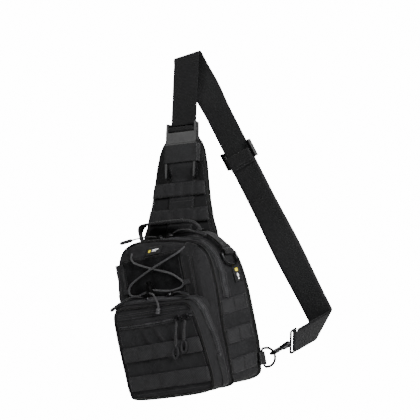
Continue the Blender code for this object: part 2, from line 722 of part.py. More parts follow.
class Strap:
    """Builds the webbing's stations: its middle, travel direction and face normal change at each fold."""

    def __init__(self, middle, along, normal):
        self.middle, self.along, self.normal = Vector(middle), Vector(along), Vector(normal)
        self.stations = []

    def across(self):
        return self.along.cross(self.normal).normalized()

    def mark(self):
        half = self.across() * (STRAP_WIDTH / 2)
        self.stations.append((self.middle - half, self.middle + half, self.normal.copy()))

    def advance(self, distance, steps=1):
        for _ in range(steps):
            self.middle = self.middle + self.along * (distance / steps)
            self.mark()

    def fold(self, slant, bend, radius, steps=8):
        """Bend away from the face normal round a cylinder whose axis is slanted from square."""
        across = self.across()
        crease = across * math.cos(slant) + self.along * math.sin(slant)
        inward = self.along * math.cos(slant) - across * math.sin(slant)
        axis = self.middle - self.normal * radius
        length = radius * bend
        reach = STRAP_WIDTH / 2 / math.cos(slant)
        for i in range(steps + 1):
            angle = bend * i / steps
            normal = self.normal * math.cos(angle) + inward * math.sin(angle)
            centre = axis + normal * radius + crease * (length * i / steps * math.tan(slant))
            self.stations.append((centre - crease * reach, centre + crease * reach, normal))
        turned_in = inward * math.cos(bend) - self.normal * math.sin(bend)
        self.middle = centre
        self.normal = normal
        self.along = crease * math.sin(slant) + turned_in * math.cos(slant)


def strap_route(neck_matrix, contact):
    """Return the strap's stations, the tri-glide's place, the first doubled station and the eye's place."""
    bar = (BUCKLE_Y, LADDER_BAR_Z)
    wrap = [(y, z) for y, z in arc(bar, 4.0, 0, -180, 8)]
    wrap += [(-20.4, 194.6), (-17.2, 197.2), (-13.4, 199.4), (-12.6, 204.0), (-12.4, 212.0)]
    local = [Vector((BUCKLE_X, y, z)) for y, z in wrap]
    stations = []
    turn = neck_matrix.to_3x3()
    half = turn @ Vector((STRAP_WIDTH / 2, 0, 0))
    for point, normal in zip(local, path_normals(local, (1, 0, 0))):
        centre = neck_matrix @ point
        stations.append((centre - half, centre + half, -(turn @ normal)))

    yaw = math.radians(NECK_YAW)
    normal = Vector((math.sin(yaw), -math.cos(yaw), 0.0))
    strap = Strap(normal * FOLD_RADIUS, Vector((0.0, 0.0, 1.0)), normal)
    top = strap.middle.copy()
    strap.middle = top - strap.along * 14.0
    strap.mark()
    strap.middle = top
    back = Vector(BACK_RUN_DIRECTION).normalized()
    slant = math.radians(TOP_CREASE_RISE)
    strap.fold(slant, bend_towards(strap, slant, back), FOLD_RADIUS)
    strap.advance(14.0)
    glide = (strap.middle + strap.along * (GLIDE_DISTANCE - 14.0), strap.along.copy(), strap.normal.copy())
    strap.advance(BACK_RUN_LENGTH - 14.0 - 34.0, 6)
    doubled = len(stations) + len(strap.stations) - 1

    strap.middle = strap.middle + strap.along * 34.0
    strap.fold(*aim_fold(strap, contact), LOWER_FOLD_RADIUS)
    strap.middle = contact - strap.along * (HOOK_REACH + 12.0) + strap.normal * EYE_WRAP
    strap.mark()
    strap.advance(12.0)
    eye = (strap.middle.copy(), strap.along.copy(), strap.normal.copy())
    strap.fold(0.0, math.pi, EYE_WRAP)
    strap.advance(5.0)
    return stations + strap.stations, glide, doubled, eye


def bend_towards(strap, slant, target):
    """Return the angle of the bend, at a given slant, that turns the strap towards the target."""
    across = strap.across()
    crease = across * math.cos(slant) + strap.along * math.sin(slant)
    inward = strap.along * math.cos(slant) - across * math.sin(slant)
    after = (target - crease * target.dot(crease)).normalized()
    return math.atan2(-after.dot(strap.normal), after.dot(inward)) % (2 * math.pi)


def aim_fold(strap, goal):
    """Return the slant and bend of the fold after which the eye's bar, not the strap, points at the goal."""
    middle = strap.middle
    for _ in range(6):
        target = (goal - middle).normalized()
        crease = strap.normal.cross(strap.along - target).normalized()
        if crease.dot(strap.across()) < 0:
            crease = -crease
        slant = math.asin(crease.dot(strap.along))
        bend = bend_towards(strap, slant, target)
        trial = Strap(strap.middle, strap.along, strap.normal)
        trial.fold(slant, bend, LOWER_FOLD_RADIUS)
        middle = trial.middle - trial.normal * EYE_WRAP
    return slant, bend


def build_strap(neck_matrix, contact):
    """Shoulder strap and the second layer that comes back from the hook's eye."""
    stations, glide, doubled, eye = strap_route(neck_matrix, contact)
    make_object("shoulder_strap", ribbon(stations, STRAP_THICKNESS), webbing())

    middle, along, normal = glide
    start = middle + along * (GLIDE_TRAVEL + 27.0)
    half = along.cross(normal).normalized() * (STRAP_WIDTH / 2)
    run = [(start - half, start + half, normal)] + stations[doubled:-12]
    second = []
    for left, right, face in run:
        step = face * -LAYER_STEP
        second.append((left + step, right + step, face))
    left, right, face = stations[-12]
    second.append((left - face * 4.0, right - face * 4.0, face))
    make_object("strap_second_layer", ribbon(second, STRAP_THICKNESS), webbing())
    build_glide(glide)
    build_hook(eye)


def place_frame(name, origin, x_axis, z_axis):
    """Return a frame at the origin with the given x axis and z axis, made square to each other."""
    z_axis = Vector(z_axis).normalized()
    x_axis = Vector(x_axis)
    x_axis = (x_axis - z_axis * x_axis.dot(z_axis)).normalized()
    turn = Matrix((x_axis, z_axis.cross(x_axis), z_axis)).transposed()
    return make_frame(name, origin, turn)


def build_glide(glide):
    """Tri-glide: two outer bars on one face of the strap, a middle bar on the other, and the sewn loop on it.

    In its frame x runs across the strap, z along it and y against the strap's face normal.
    """
    middle, along, normal = glide
    frame = place_frame("glide_frame", middle, along.cross(normal), along)
    item = make_object("tri_glide", box((26.0, 31.0), (-4.4, 7.6), (-16.0, 16.0)), plastic(), frame)
    pieces = [box((-31.0, -26.0), (-4.4, 7.6), (-16.0, 16.0))]
    for z in ((-16.0, -11.0), (11.0, 16.0)):
        pieces.append(box((-27.0, 27.0), (-4.4, -1.6), z))
    pieces.append(sweep([(-27.0, 5.6, 0.0), (27.0, 5.6, 0.0)], 1.8, 10))
    for solid in pieces:
        boolean(item, make_object("glide_piece", solid, plastic(), frame), "UNION")

    path = [(2.9, 24.0), (2.7, 8.0)]
    path += [(5.6 + a, b) for a, b in arc((0, 0), 2.9, 180, 360, 8)]
    path += [(7.6, 8.0), (5.4, 15.0), (5.0, 24.0)]
    points = [(0.0, y, z) for y, z in path]
    make_object("adjuster_loop", web_band(points, (1, 0, 0), STRAP_WIDTH), webbing(), frame)


def build_hook(eye):
    """Snap hook: rectangular swivel eye, body with its bight, sprung bolt and the bolt's spring."""
    middle, along, normal = eye
    bar = middle - normal * EYE_WRAP
    frame = place_frame("eye_frame", bar, along.cross(normal), along)
    half = EYE_WIDTH / 2
    corners = [(-half + 2, 0, 0), (half - 2, 0, 0), (half, 0, 2), (half, 0, 8), (half - 2, 0, 10),
               (-half + 2, 0, 10), (-half, 0, 8), (-half, 0, 2)]
    item = make_object("hook_eye", sweep(corners, 2.0, 8, closed=True), black_metal(), frame, smooth=True)
    stem = turned((0, 0, 0), [(9.0, 2.1), (15.6, 2.1), (16.6, 3.4), (19.4, 3.4), (20.4, 2.4)], 12)
    boolean(item, make_object("eye_stem", stem, black_metal(), frame), "UNION")

    upright = Vector((0, 0, 1))
    upright.rotate(rotation(tilt=BODY_TILT))
    frame = place_frame("hook_frame", bar, upright.cross(along), along)
    barrel = turned((0, 0, 0), [(12.8, 4.9), (13.8, 5.6), (24.0, 5.6), (25.2, 4.6)], 14)
    item = make_object("hook_body", barrel, black_metal(), frame, smooth=True)
    end = HOOK_REACH + RING_WIRE / 2 + 0.5 + HOOK_WIRE / 2
    centre = end - BIGHT_RADIUS
    bight = [(-BIGHT_RADIUS, 0, 25.0), (-BIGHT_RADIUS, 0, 34.0)]
    bight += [(a, 0, centre + b) for a, b in arc((0, 0), BIGHT_RADIUS, 180, 0, 10)]
    bight.append((BIGHT_RADIUS, 0, centre - 2.0))
    tube = turned((BIGHT_RADIUS, 0, 0), [(23.0, 3.4), (32.4, 3.4)], 12)
    shoulder = box((-BIGHT_RADIUS - 2.4, BIGHT_RADIUS + 2.4), (-2.6, 2.6), (22.0, 26.5))
    for name, solid in (("bight", sweep(bight, HOOK_WIRE / 2, 8)), ("bolt_tube", tube), ("shoulder", shoulder)):
        boolean(item, make_object(name, solid, black_metal(), frame), "UNION")
    socket = turned((0, 0, 0), [(12.0, 2.5), (15.9, 2.5), (16.0, 3.8), (20.9, 3.8)], 12)
    bore = turned((BIGHT_RADIUS, 0, 0), [(24.5, 2.3), (33.4, 2.3)], 12)
    for name, solid in (("socket", socket), ("bolt_bore", bore)):
        boolean(item, make_object(name, solid, black_metal(), frame))

    top = centre - 2.4
    bolt = turned((BIGHT_RADIUS, 0, 0), [(30.4, 2.0), (top - 1.0, 2.0), (top, 1.4)], 12)
    item = make_object("hook_bolt", bolt, black_metal(), frame, origin=(BIGHT_RADIUS, 0, 30), smooth=True)
    knob = sweep([(BIGHT_RADIUS, 0, top - 1.6), (BIGHT_RADIUS + 5.4, 0, top - 1.6)], 1.4, 10)
    boolean(item, make_object("bolt_knob", knob, black_metal(), frame), "UNION")
    coil = []
    for i in range(31):
        angle = 2 * math.pi * i / 10
        coil.append((BIGHT_RADIUS + 1.7 * math.cos(angle), 1.7 * math.sin(angle), 25.0 + 5.0 * i / 30))
    make_object("hook_spring", sweep(coil, 0.25, 6), black_metal(), frame)


def main():
    for item in list(bpy.data.objects):
        bpy.data.objects.remove(item)
    body = make_frame("body_frame", BODY_ORIGIN, rotation(tilt=BODY_TILT))
    turn = rotation(NECK_YAW, NECK_TILT, NECK_LEAN)
    neck = make_frame("neck_frame", NECK_ORIGIN, turn)
    bpy.context.view_layer.update()
    build_panels(body)
    build_front_trim(body)
    build_rows(body)
    build_zips(body)
    build_sliders(body)
    build_bungee(body)
    build_tail(body)
    build_handle(body)
    build_rings(body)
    build_neck(neck, body)
    build_buckle(neck)
    build_strap(Matrix.Translation(Vector(NECK_ORIGIN)) @ turn.to_4x4(), ring_contact(body))


main()
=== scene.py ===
"""Looks of the hanging sling bag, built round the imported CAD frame.

Body and neck frames are the same as in the CAD; all local numbers are millimetres.
"""
import math

import bpy
from mathutils import Matrix, Vector, noise


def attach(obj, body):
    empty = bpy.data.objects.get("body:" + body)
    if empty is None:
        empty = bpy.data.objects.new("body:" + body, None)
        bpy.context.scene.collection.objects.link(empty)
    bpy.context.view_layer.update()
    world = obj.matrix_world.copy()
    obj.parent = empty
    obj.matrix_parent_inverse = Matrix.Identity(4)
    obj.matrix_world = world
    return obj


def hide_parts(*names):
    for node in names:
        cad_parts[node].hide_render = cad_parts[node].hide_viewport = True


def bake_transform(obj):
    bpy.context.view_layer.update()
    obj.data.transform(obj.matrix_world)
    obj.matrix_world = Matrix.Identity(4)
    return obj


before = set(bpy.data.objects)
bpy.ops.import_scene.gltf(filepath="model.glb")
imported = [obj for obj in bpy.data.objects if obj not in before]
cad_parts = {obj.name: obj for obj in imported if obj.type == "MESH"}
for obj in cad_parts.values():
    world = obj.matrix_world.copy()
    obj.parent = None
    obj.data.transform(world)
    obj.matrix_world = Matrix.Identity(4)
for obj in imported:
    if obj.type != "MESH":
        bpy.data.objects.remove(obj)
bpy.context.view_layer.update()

MM = 0.001
BODY = Matrix.Translation((69.7, -31.0, -577.2)) @ Matrix.Rotation(math.radians(-13.0), 4, "Y")
NECK = (Matrix.Translation((11.9, -37.0, -319.5)) @ Matrix.Rotation(math.radians(8.0), 4, "Z")
        @ Matrix.Rotation(math.radians(-6.0), 4, "Y") @ Matrix.Rotation(math.radians(-14.0), 4, "X"))
BODY_TURN, NECK_TURN = BODY.to_3x3(), NECK.to_3x3()
UP = Vector((0, 0, 1))
BODY_FRONT, NECK_FRONT = BODY_TURN @ Vector((0, -1, 0)), NECK_TURN @ Vector((0, -1, 0))
SIDES = ((1, "right"), (-1, "left"))
BUCKLE_X = 8.0
ROW_HEIGHT = 25.0                      # height of every sewn webbing row
BACKDROP, SURROUND = 15.0, 0.12        # strength seen by the camera, and strength that lights the bag
SHADE = 0.55                           # how dark the dye is, for all greys


# ---------------------------------------------------------------- camera, lights, floor

def linked(name, data):
    item = bpy.data.objects.new(name, data)
    bpy.context.collection.objects.link(item)
    return item


def facing(direction):
    return direction.to_track_quat("Z", "Y").to_euler()


def build_camera():
    target = Vector((0.1541, -0.1489, -0.2622))
    toward = Vector((0.5728, -0.8180, 0.0523)).normalized()
    data = bpy.data.cameras.new("camera")
    data.lens = 102.9
    data.sensor_width = 36.0
    data.clip_end = 50.0
    camera = linked("camera", data)
    camera.location = target + toward * 1.95
    camera.rotation_euler = facing(toward)
    bpy.context.scene.camera = camera


def area_light(name, place, size, power):
    data = bpy.data.lights.new(name, "AREA")
    data.shape = "RECTANGLE"
    data.size, data.size_y = size
    data.energy = power
    light = linked(name, data)
    light.location = place
    light.rotation_euler = facing(Vector(place) - Vector((0.1, -0.05, -0.35)))


def seen_and_lit(tree, seen, lit, output):
    """Show the camera a plain pale backdrop, and light the bag with the other shader."""
    path = tree.nodes.new("ShaderNodeLightPath")
    mix = tree.nodes.new("ShaderNodeMixShader")
    seen.inputs[0].default_value = (1.0, 1.0, 1.0, 1.0)
    seen.inputs[1].default_value = BACKDROP
    for socket, slot in ((path.outputs["Is Camera Ray"], 0), (lit.outputs[0], 1), (seen.outputs[0], 2)):
        tree.links.new(socket, mix.inputs[slot])
    tree.links.new(mix.outputs[0], tree.nodes[output].inputs[0])


def build_stage():
    """Pale floor well below the bag, pale surroundings and three soft lights."""
    world = bpy.data.worlds.new("world")
    world.use_nodes = True
    tree = world.node_tree
    lit = tree.nodes["Background"]
    lit.inputs[0].default_value = (1.0, 1.0, 1.0, 1.0)
    lit.inputs[1].default_value = SURROUND
    seen_and_lit(tree, tree.nodes.new("ShaderNodeBackground"), lit, "World Output")
    bpy.context.scene.world = world
    mesh = bpy.data.meshes.new("floor")
    size, z = 12.0, -0.72
    corners = [(-size, -size, z), (size, -size, z), (size, size, z), (-size, size, z)]
    mesh.from_pydata(corners, [], [(0, 1, 2, 3)])
    floor = linked("floor", mesh)
    shade, tree, shader = nodes_of("floor")
    settings(shader, Base_Color=(0.85, 0.85, 0.85, 1.0), Roughness=0.9)
    seen_and_lit(tree, tree.nodes.new("ShaderNodeEmission"), shader, "Material Output")
    mesh.materials.append(shade)
    area_light("key", (-0.9, -1.6, 0.9), (0.7, 0.7), 13.0)
    area_light("side", (1.9, -0.8, 0.75), (0.5, 0.7), 54.0)
    area_light("back", (0.3, 1.7, 0.8), (1.4, 1.2), 30.0)


# ---------------------------------------------------------------- materials

def nodes_of(name):
    shade = bpy.data.materials.new(name)
    shade.use_nodes = True
    return shade, shade.node_tree, shade.node_tree.nodes["Principled BSDF"]


def settings(node, **inputs):
    """Set a node's sockets by name, with _ for each space."""
    for key, value in inputs.items():
        node.inputs[key.replace("_", " ")].default_value = value
    return node


def add(tree, kind, coords=None, **inputs):
    node = settings(tree.nodes.new(kind), **inputs)
    if coords:
        tree.links.new(coords, node.inputs["Vector"])
    return node


def coordinates(tree, use_uv, turn=0.0):
    """Return a socket with coordinates in millimetres, from the piece's own map or from its place."""
    source = tree.nodes.new("ShaderNodeTexCoord").outputs["UV" if use_uv else "Object"]
    node = add(tree, "ShaderNodeMapping", source, Scale=(1000.0, 1000.0, 1000.0),
               Rotation=(0.0, 0.0, math.radians(turn)))
    return node.outputs["Vector"]


def wave(tree, coords, direction, period, distortion=0.0):
    node = add(tree, "ShaderNodeTexWave", coords, Scale=0.3142 / period, Distortion=distortion, Detail=1.0)
    node.bands_direction = direction
    return node.outputs["Fac"]


def noise_at(tree, coords, period, detail=3.0, roughness=0.55):
    node = add(tree, "ShaderNodeTexNoise", coords, Scale=1.0 / period, Detail=detail, Roughness=roughness)
    return node.outputs["Fac"]


def math_node(tree, operation, a, b):
    node = tree.nodes.new("ShaderNodeMath")
    node.operation = operation
    for socket, value in ((node.inputs[0], a), (node.inputs[1], b)):
        if isinstance(value, (int, float)):
            socket.default_value = value
        else:
            tree.links.new(value, socket)
    return node.outputs[0]


def total(tree, start, *parts):
    """Return a value that is the start plus each part's socket times its weight."""
    for socket, weight in parts:
        start = math_node(tree, "ADD", start, math_node(tree, "MULTIPLY", socket, weight))
    return start


def paint(tree, shader, fac, colours, span):
    """Colour the shader from the first colour to the second as the factor crosses the span."""
    node = tree.nodes.new("ShaderNodeValToRGB")
    for element, colour, position in zip(node.color_ramp.elements, colours, span):
        element.position = position
        element.color = (*colour, 1.0)
    tree.links.new(fac, node.inputs["Fac"])
    tree.links.new(node.outputs["Color"], shader.inputs["Base Color"])


def bump(tree, shader, heights):
    """Chain bumps of (height socket, depth in millimetres) into the shader's normal."""
    before = None
    for height, depth in heights:
        node = add(tree, "ShaderNodeBump", Strength=1.0, Distance=depth * MM)
        tree.links.new(height, node.inputs["Height"])
        if before:
            tree.links.new(before, node.inputs["Normal"])
        before = node.outputs["Normal"]
    tree.links.new(before, shader.inputs["Normal"])


def greys(low, high):
    """Return two nearly neutral greys, a little towards blue."""
    return [tuple(SHADE * level * tint for tint in (1.0, 1.0, 1.06)) for level in (low, high)]


def cloth_material(name, level, pitch, roughness=0.8, sheen=0.05, depth=0.12):
    """Woven cloth: crossed threads, with the thread tops painted lighter and the gaps between them darker as
    painted highlight and painted shade, slow tone changes and fine lint.
    """
    shade, tree, shader = nodes_of(name)
    coords = coordinates(tree, True)
    warp, weft = (wave(tree, coords, axis, pitch, 0.6) for axis in "XY")
    weave = math_node(tree, "MAXIMUM", warp, weft)
    slow = noise_at(tree, coords, 38.0, 4.0)
    lint = noise_at(tree, coords, 3.0, 5.0, 0.75)
    mix = total(tree, 0.0, (weave, 0.35), (slow, 0.5), (lint, 0.45))
    # painted highlight and painted shade: the weave term lightens the thread tops and darkens the gaps, over
    # the random tone and lint
    paint(tree, shader, mix, greys(level * 0.3, level * 2.6), (0.38, 0.98))
    tree.links.new(total(tree, roughness - 0.08, (lint, 0.18)), shader.inputs["Roughness"])
    settings(shader, Sheen_Weight=sheen, Sheen_Roughness=0.45, Specular_IOR_Level=0.16)
    bump(tree, shader, [(slow, 1.4), (weave, depth), (lint, 0.1)])
    return shade


def ribbed_material(name, level, pitch=1.7, direction="DIAGONAL", roughness=0.62, rib_depth=0.28,
                    contrast=1.0):
    """Webbing: ribs with fine threads across them, the rib tops painted a little lighter and the grooves
    darker as painted highlight and painted shade.
    """
    shade, tree, shader = nodes_of(name)
    coords = coordinates(tree, True)
    ribs = wave(tree, coords, direction, pitch, 0.4)
    threads = wave(tree, coords, "X", 0.9, 0.5)
    slow = noise_at(tree, coords, 30.0)
    lint = noise_at(tree, coords, 1.6, 4.0, 0.7)
    mix = total(tree, 0.0, (ribs, 0.45), (slow, 0.35), (lint, 0.25))
    # painted highlight on the rib tops and painted shade in the grooves; contrast sets their strength, along
    # with the random tone and lint
    shades = greys(level * (1.0 - 0.75 * contrast), level * (1.0 + 1.8 * contrast))
    paint(tree, shader, mix, shades, (0.25, 0.95))
    tree.links.new(total(tree, roughness - 0.05, (lint, 0.15)), shader.inputs["Roughness"])
    settings(shader, Sheen_Weight=0.08, Sheen_Roughness=0.4, Specular_IOR_Level=0.2)
    bump(tree, shader, [(slow, 0.6), (ribs, rib_depth), (threads, 0.07)])
    return shade


def loop_material(name, level):
    """Loop fastener: short fuzz with pale specks where the loops catch the light."""
    shade, tree, shader = nodes_of(name)
    coords = coordinates(tree, True)
    cell = add(tree, "ShaderNodeTexVoronoi", coords, Scale=1.0 / 2.1)
    fuzz = noise_at(tree, coords, 1.4, 6.0, 0.8)
    slow = noise_at(tree, coords, 22.0)
    mix = math_node(tree, "MULTIPLY", fuzz, total(tree, 0.6, (slow, 0.8)))
    paint(tree, shader, mix, greys(level * 0.35, level * 4.5), (0.42, 0.78))
    settings(shader, Roughness=0.95, Specular_IOR_Level=0.06, Sheen_Weight=0.02, Sheen_Roughness=0.6)
    bump(tree, shader, [(fuzz, 1.1), (cell.outputs["Distance"], 0.5)])
    return shade


def plastic_material(name, level, roughness=0.38, grain=0.03, shine=0.14):
    shade, tree, shader = nodes_of(name)
    coords = coordinates(tree, False)
    fine = noise_at(tree, coords, 0.7, 2.0)
    slow = noise_at(tree, coords, 14.0, 4.0)
    paint(tree, shader, slow, greys(level * 0.75, level * 1.35), (0.3, 0.75))
    tree.links.new(total(tree, roughness - 0.08, (slow, 0.18)), shader.inputs["Roughness"])
    settings(shader, Specular_IOR_Level=shine)
    bump(tree, shader, [(fine, grain), (slow, 0.12)])
    return shade


def metal_material(name, level, wear=0.3):
    """Black-coated metal with small brighter rubs."""
    shade, tree, shader = nodes_of(name)
    coords = coordinates(tree, False)
    slow = noise_at(tree, coords, 5.0, 5.0, 0.65)
    fine = noise_at(tree, coords, 0.6, 2.0)
    paint(tree, shader, slow, greys(level, wear), (0.56, 0.82))
    tree.links.new(total(tree, 0.22, (slow, 0.22)), shader.inputs["Roughness"])
    settings(shader, Metallic=0.85)
    bump(tree, shader, [(fine, 0.03)])
    return shade


def cord_material(name, level, pitch=1.6):
    """Round braid: crossed diagonal strands."""
    shade, tree, shader = nodes_of(name)
    coords = coordinates(tree, True)
    one = wave(tree, coords, "DIAGONAL", pitch)
    two = wave(tree, coordinates(tree, True, 90.0), "DIAGONAL", pitch)
    braid = math_node(tree, "MULTIPLY", one, two)
    lint = noise_at(tree, coords, 1.2, 4.0, 0.7)
    paint(tree, shader, total(tree, braid, (lint, 0.3)), greys(level * 0.5, level * 1.5), (0.1, 0.8))
    settings(shader, Roughness=0.7, Sheen_Weight=0.1)
    bump(tree, shader, [(braid, 0.3), (lint, 0.08)])
    return shade


def plain_thread(name, colour, painted_glow=0.0):
    shade, tree, shader = nodes_of(name)
    twist = wave(tree, coordinates(tree, False), "DIAGONAL", 0.5, 0.4)
    paint(tree, shader, twist, (tuple(c * 0.7 for c in colour), colour), (0.2, 0.8))
    # painted glow: the thread gives off its own colour as light, though it is no lamp
    settings(shader, Emission_Color=(*colour, 1.0), Emission_Strength=painted_glow, Roughness=0.6)
    bump(tree, shader, [(twist, 0.08)])
    return shade


SHELL = cloth_material("shell_cloth", 0.021, 0.95)
SHELL_SMOOTH = cloth_material("panel_cloth", 0.021, 0.6, roughness=0.6, sheen=0.06, depth=0.06)
NECK_CLOTH = cloth_material("neck_cloth", 0.0105, 0.6, roughness=0.6, sheen=0.05, depth=0.06)
MESH_CLOTH = cloth_material("spacer_mesh", 0.02, 2.6, roughness=0.85, depth=0.5)
ELASTIC = cloth_material("keeper_elastic", 0.02, 0.8, roughness=0.5, sheen=0.04, depth=0.05)
WEB = ribbed_material("webbing_ribs", 0.034)
WEB_UPRIGHT = ribbed_material("webbing_upright_ribs", 0.027, 2.2, "X")
WEB_ANCHOR = ribbed_material("anchor_webbing", 0.024, 1.9, "Y")
STRIP_WEB = ribbed_material("strip_webbing", 0.019, 2.2, "X", contrast=0.6)
STRAP_WEB = ribbed_material("strap_webbing", 0.018, 2.6, "Y", rib_depth=0.12, contrast=0.4)
TAPE = ribbed_material("edge_tape", 0.006, 1.1, "X", roughness=0.55)
LOOP = loop_material("loop_fastener", 0.012)
PLASTIC = plastic_material("buckle_plastic", 0.014, 0.34, shine=0.34)
PLASTIC_DARK = plastic_material("dark_plastic", 0.004, 0.45, shine=0.05)
METAL = metal_material("coated_metal", 0.03)
TEETH = plastic_material("zip_coil", 0.1, 0.32, 0.02)
CORD = cord_material("elastic_braid", 0.11)
PULL_CORD = cord_material("pull_cord", 0.045)
GRIP = plastic_material("pull_grip", 0.05, 0.5, 0.06)
THREAD = plain_thread("thread", (0.06, 0.06, 0.063))
TACK = plain_thread("tack_thread", (0.003, 0.003, 0.0032))
# the yellow and pale label threads carry a painted glow that makes them look brighter
YELLOW = plain_thread("yellow_thread", (0.95, 0.78, 0.03), 0.35)
PALE = plain_thread("pale_thread", (0.95, 0.95, 0.95), 0.6)


# ---------------------------------------------------------------- mesh helpers

def clamp(value):
    return min(max(value, 0.0), 1.0)


def steps_between(low, high, count):
    """Return count values from low to high, ends included."""
    return [low + (high - low) * k / (count - 1) for k in range(count)]


def catmull(a, b, c, d, t):
    square = (2 * a - 5 * b + 4 * c - d) * t * t
    cube = (3 * b - a - 3 * c + d) * t ** 3
    return 0.5 * ((2 * b) + (c - a) * t + square + cube)


def closed_curve(keys, per_key):
    """Return a smooth closed curve through the keys, with the same number of points after each key."""
    keys = [Vector(k) for k in keys]
    points = []
    for i in range(len(keys)):
        a, b, c, d = (keys[(i + k) % len(keys)] for k in (-1, 0, 1, 2))
        points += [catmull(a, b, c, d, k / per_key) for k in range(per_key)]
    return points


def open_curve(keys, count):
    """Return evenly spaced points on a smooth curve through the keys."""
    keys = [Vector(k) for k in keys]
    keys = [keys[0] * 2 - keys[1]] + keys + [keys[-1] * 2 - keys[-2]]
    dense = []
    for i in range(1, len(keys) - 2):
        dense += [catmull(*keys[i - 1:i + 3], k / 16) for k in range(16)]
    dense.append(keys[-2])
    return spread(dense, count)


def length_of(points):
    return sum((b - a).length for a, b in zip(points, points[1:]))


def spread(points, count):
    """Return evenly spaced points along a polyline."""
    lengths = [0.0]
    for before, after in zip(points, points[1:]):
        lengths.append(lengths[-1] + (after - before).length)
    result = []
    k = 0
    for i in range(count):
        goal = lengths[-1] * i / (count - 1)
        while k < len(points) - 2 and lengths[k + 1] < goal:
            k += 1
        span = max(lengths[k + 1] - lengths[k], 1e-9)
        result.append(points[k].lerp(points[k + 1], (goal - lengths[k]) / span))
    return result


def place(points, matrix=BODY):
    return [matrix @ Vector(p) for p in points]


def make_piece(name, verts, faces, finish, uvs=None, body="bag"):
    """Make a piece from world-millimetre vertices; it rides on the given body."""
    mesh = bpy.data.meshes.new(name)
    mesh.from_pydata([tuple(Vector(v) * MM) for v in verts], [], faces)
    if uvs:
        layer = mesh.uv_layers.new(name="UVMap")
        for loop in mesh.loops:
            u, v = uvs[loop.vertex_index]
            layer.data[loop.index].uv = (u * MM, v * MM)
    mesh.validate()
    mesh.shade_smooth()
    mesh.materials.append(finish)
    item = linked(name, mesh)
    if body:
        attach(item, body)
    return item


def grid_piece(name, rows, finish, closed=False, body="bag", caps=False):
    """Make a surface through rows of world points, mapped by the lengths along its middle lines."""
    count = len(rows[0])
    faces = []
    for r in range(len(rows) - 1):
        for i in range(count if closed else count - 1):
            j = (i + 1) % count
            faces.append((r * count + i, r * count + j, (r + 1) * count + j, (r + 1) * count + i))
    if caps:
        faces.append(tuple(reversed(range(count))))
        faces.append(tuple((len(rows) - 1) * count + i for i in range(count)))
    middle = rows[len(rows) // 2]
    along = [0.0]
    for a, b in zip(middle, middle[1:]):
        along.append(along[-1] + (b - a).length)
    across = [0.0]
    for a, b in zip(rows, rows[1:]):
        across.append(across[-1] + (b[count // 3] - a[count // 3]).length)
    uvs = [(along[i], across[r]) for r in range(len(rows)) for i in range(count)]
    return make_piece(name, [p for row in rows for p in row], faces, finish, uvs, body)


def transposed(rows):
    return [list(row) for row in zip(*rows)]


def soften(item, width, angle=35):
    modifier = item.modifiers.new("soft_edges", "BEVEL")
    modifier.width = width * MM
    modifier.segments = 2
    modifier.limit_method = "ANGLE"
    modifier.angle_limit = math.radians(angle)


def finished(item, node=None, thickness=0.0, offset=1.0):
    """Give a piece its thickness and, where it stands for one, hide its CAD node."""
    if thickness:
        modifier = item.modifiers.new("thickness", "SOLIDIFY")
        modifier.thickness = thickness * MM
        modifier.offset = offset
        modifier.use_rim = True
    if node:
        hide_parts(node)
    return item


def tangents(points, closed=False):
    count = len(points)
    result = []
    for i in range(count):
        before = points[i - 1] if closed or i else points[i]
        after = points[(i + 1) % count] if closed or i < count - 1 else points[i]
        result.append((after - before).normalized())
    return result


def tube(name, points, radius, finish, sides=10, closed=False, body="bag", flat=None, radii=None):
    """Make a round, or with flat=(axis, factor) an oval, tube along world points."""
    rows = []
    side = None
    for i, (centre, along) in enumerate(zip(points, tangents(points, closed))):
        if side is None:
            side = along.cross(UP if abs(along.z) < 0.9 else Vector((0, 1, 0))).normalized()
        else:
            side = (side - along * side.dot(along)).normalized()
        other = along.cross(side)
        size = radii[i] if radii else radius
        row = []
        for k in range(sides):
            angle = 2 * math.pi * k / sides
            offset = side * (size * math.cos(angle)) + other * (size * math.sin(angle))
            if flat:
                axis = Vector(flat[0]).normalized()
                offset -= axis * (offset.dot(axis) * (1 - flat[1]))
            row.append(centre + offset)
        rows.append(row)
    if closed:
        rows.append(list(rows[0]))
    return grid_piece(name, rows, finish, closed=True, body=body, caps=not closed)


def ribbon_rows(points, across, half_width, steps=6):
    """Return lengthwise rows of a ribbon; across holds one unit vector for each point."""
    shifts = steps_between(-half_width, half_width, steps + 1)
    return [[p + a * shift for p, a in zip(points, across)] for shift in shifts]


def arc(middle, radius, start, turn, count=13):
    """Return pairs of numbers along an arc in a plane, with the angles in degrees."""
    angles = [math.radians(start + turn * k) for k in range(count)]
    return [(middle[0] + radius * math.cos(a), middle[1] + radius * math.sin(a)) for a in angles]


OCTAGON = ((-1, -0.6), (-0.6, -1), (0.6, -1), (1, -0.6), (1, 0.6), (0.6, 1), (-0.6, 1), (-1, 0.6))


def blocks(name, places, finish, body="bag", node=None):
    """Make many small rounded blocks: each is (centre, along, across, out, (length, width, height))."""
    verts, faces = [], []
    for centre, along, across, out, (length, width, height) in places:
        start = len(verts)
        for level, grow in ((0.0, 1.0), (0.7, 0.92), (1.0, 0.55)):
            for a, b in OCTAGON:
                verts.append(centre + along * (a * length / 2 * grow) + across * (b * width / 2 * grow)
                             + out * (height * level))
        for level in range(2):
            for i in range(8):
                j = (i + 1) % 8
                base = start + level * 8
                faces.append((base + i, base + j, base + 8 + j, base + 8 + i))
        faces.append(tuple(start + 16 + i for i in range(8)))
    return finished(make_piece(name, verts, faces, finish, body=body), node)


def stitch_places(points, outs, pitch=3.4, length=2.3, width=0.5, height=0.35):
    """Return block places for a line of stitches along world points."""
    count = max(int(length_of(points) / pitch), 2)
    spots = spread(points, count * 2 + 1)
    places = []
    for i in range(1, len(spots) - 1, 2):
        along = (spots[i + 1] - spots[i - 1]).normalized()
        share = i / (len(spots) - 1) * (len(outs) - 1)
        out = outs[min(int(round(share)), len(outs) - 1)].normalized()
        places.append((spots[i], along, out.cross(along).normalized(), out, (length, width, height)))
    return places


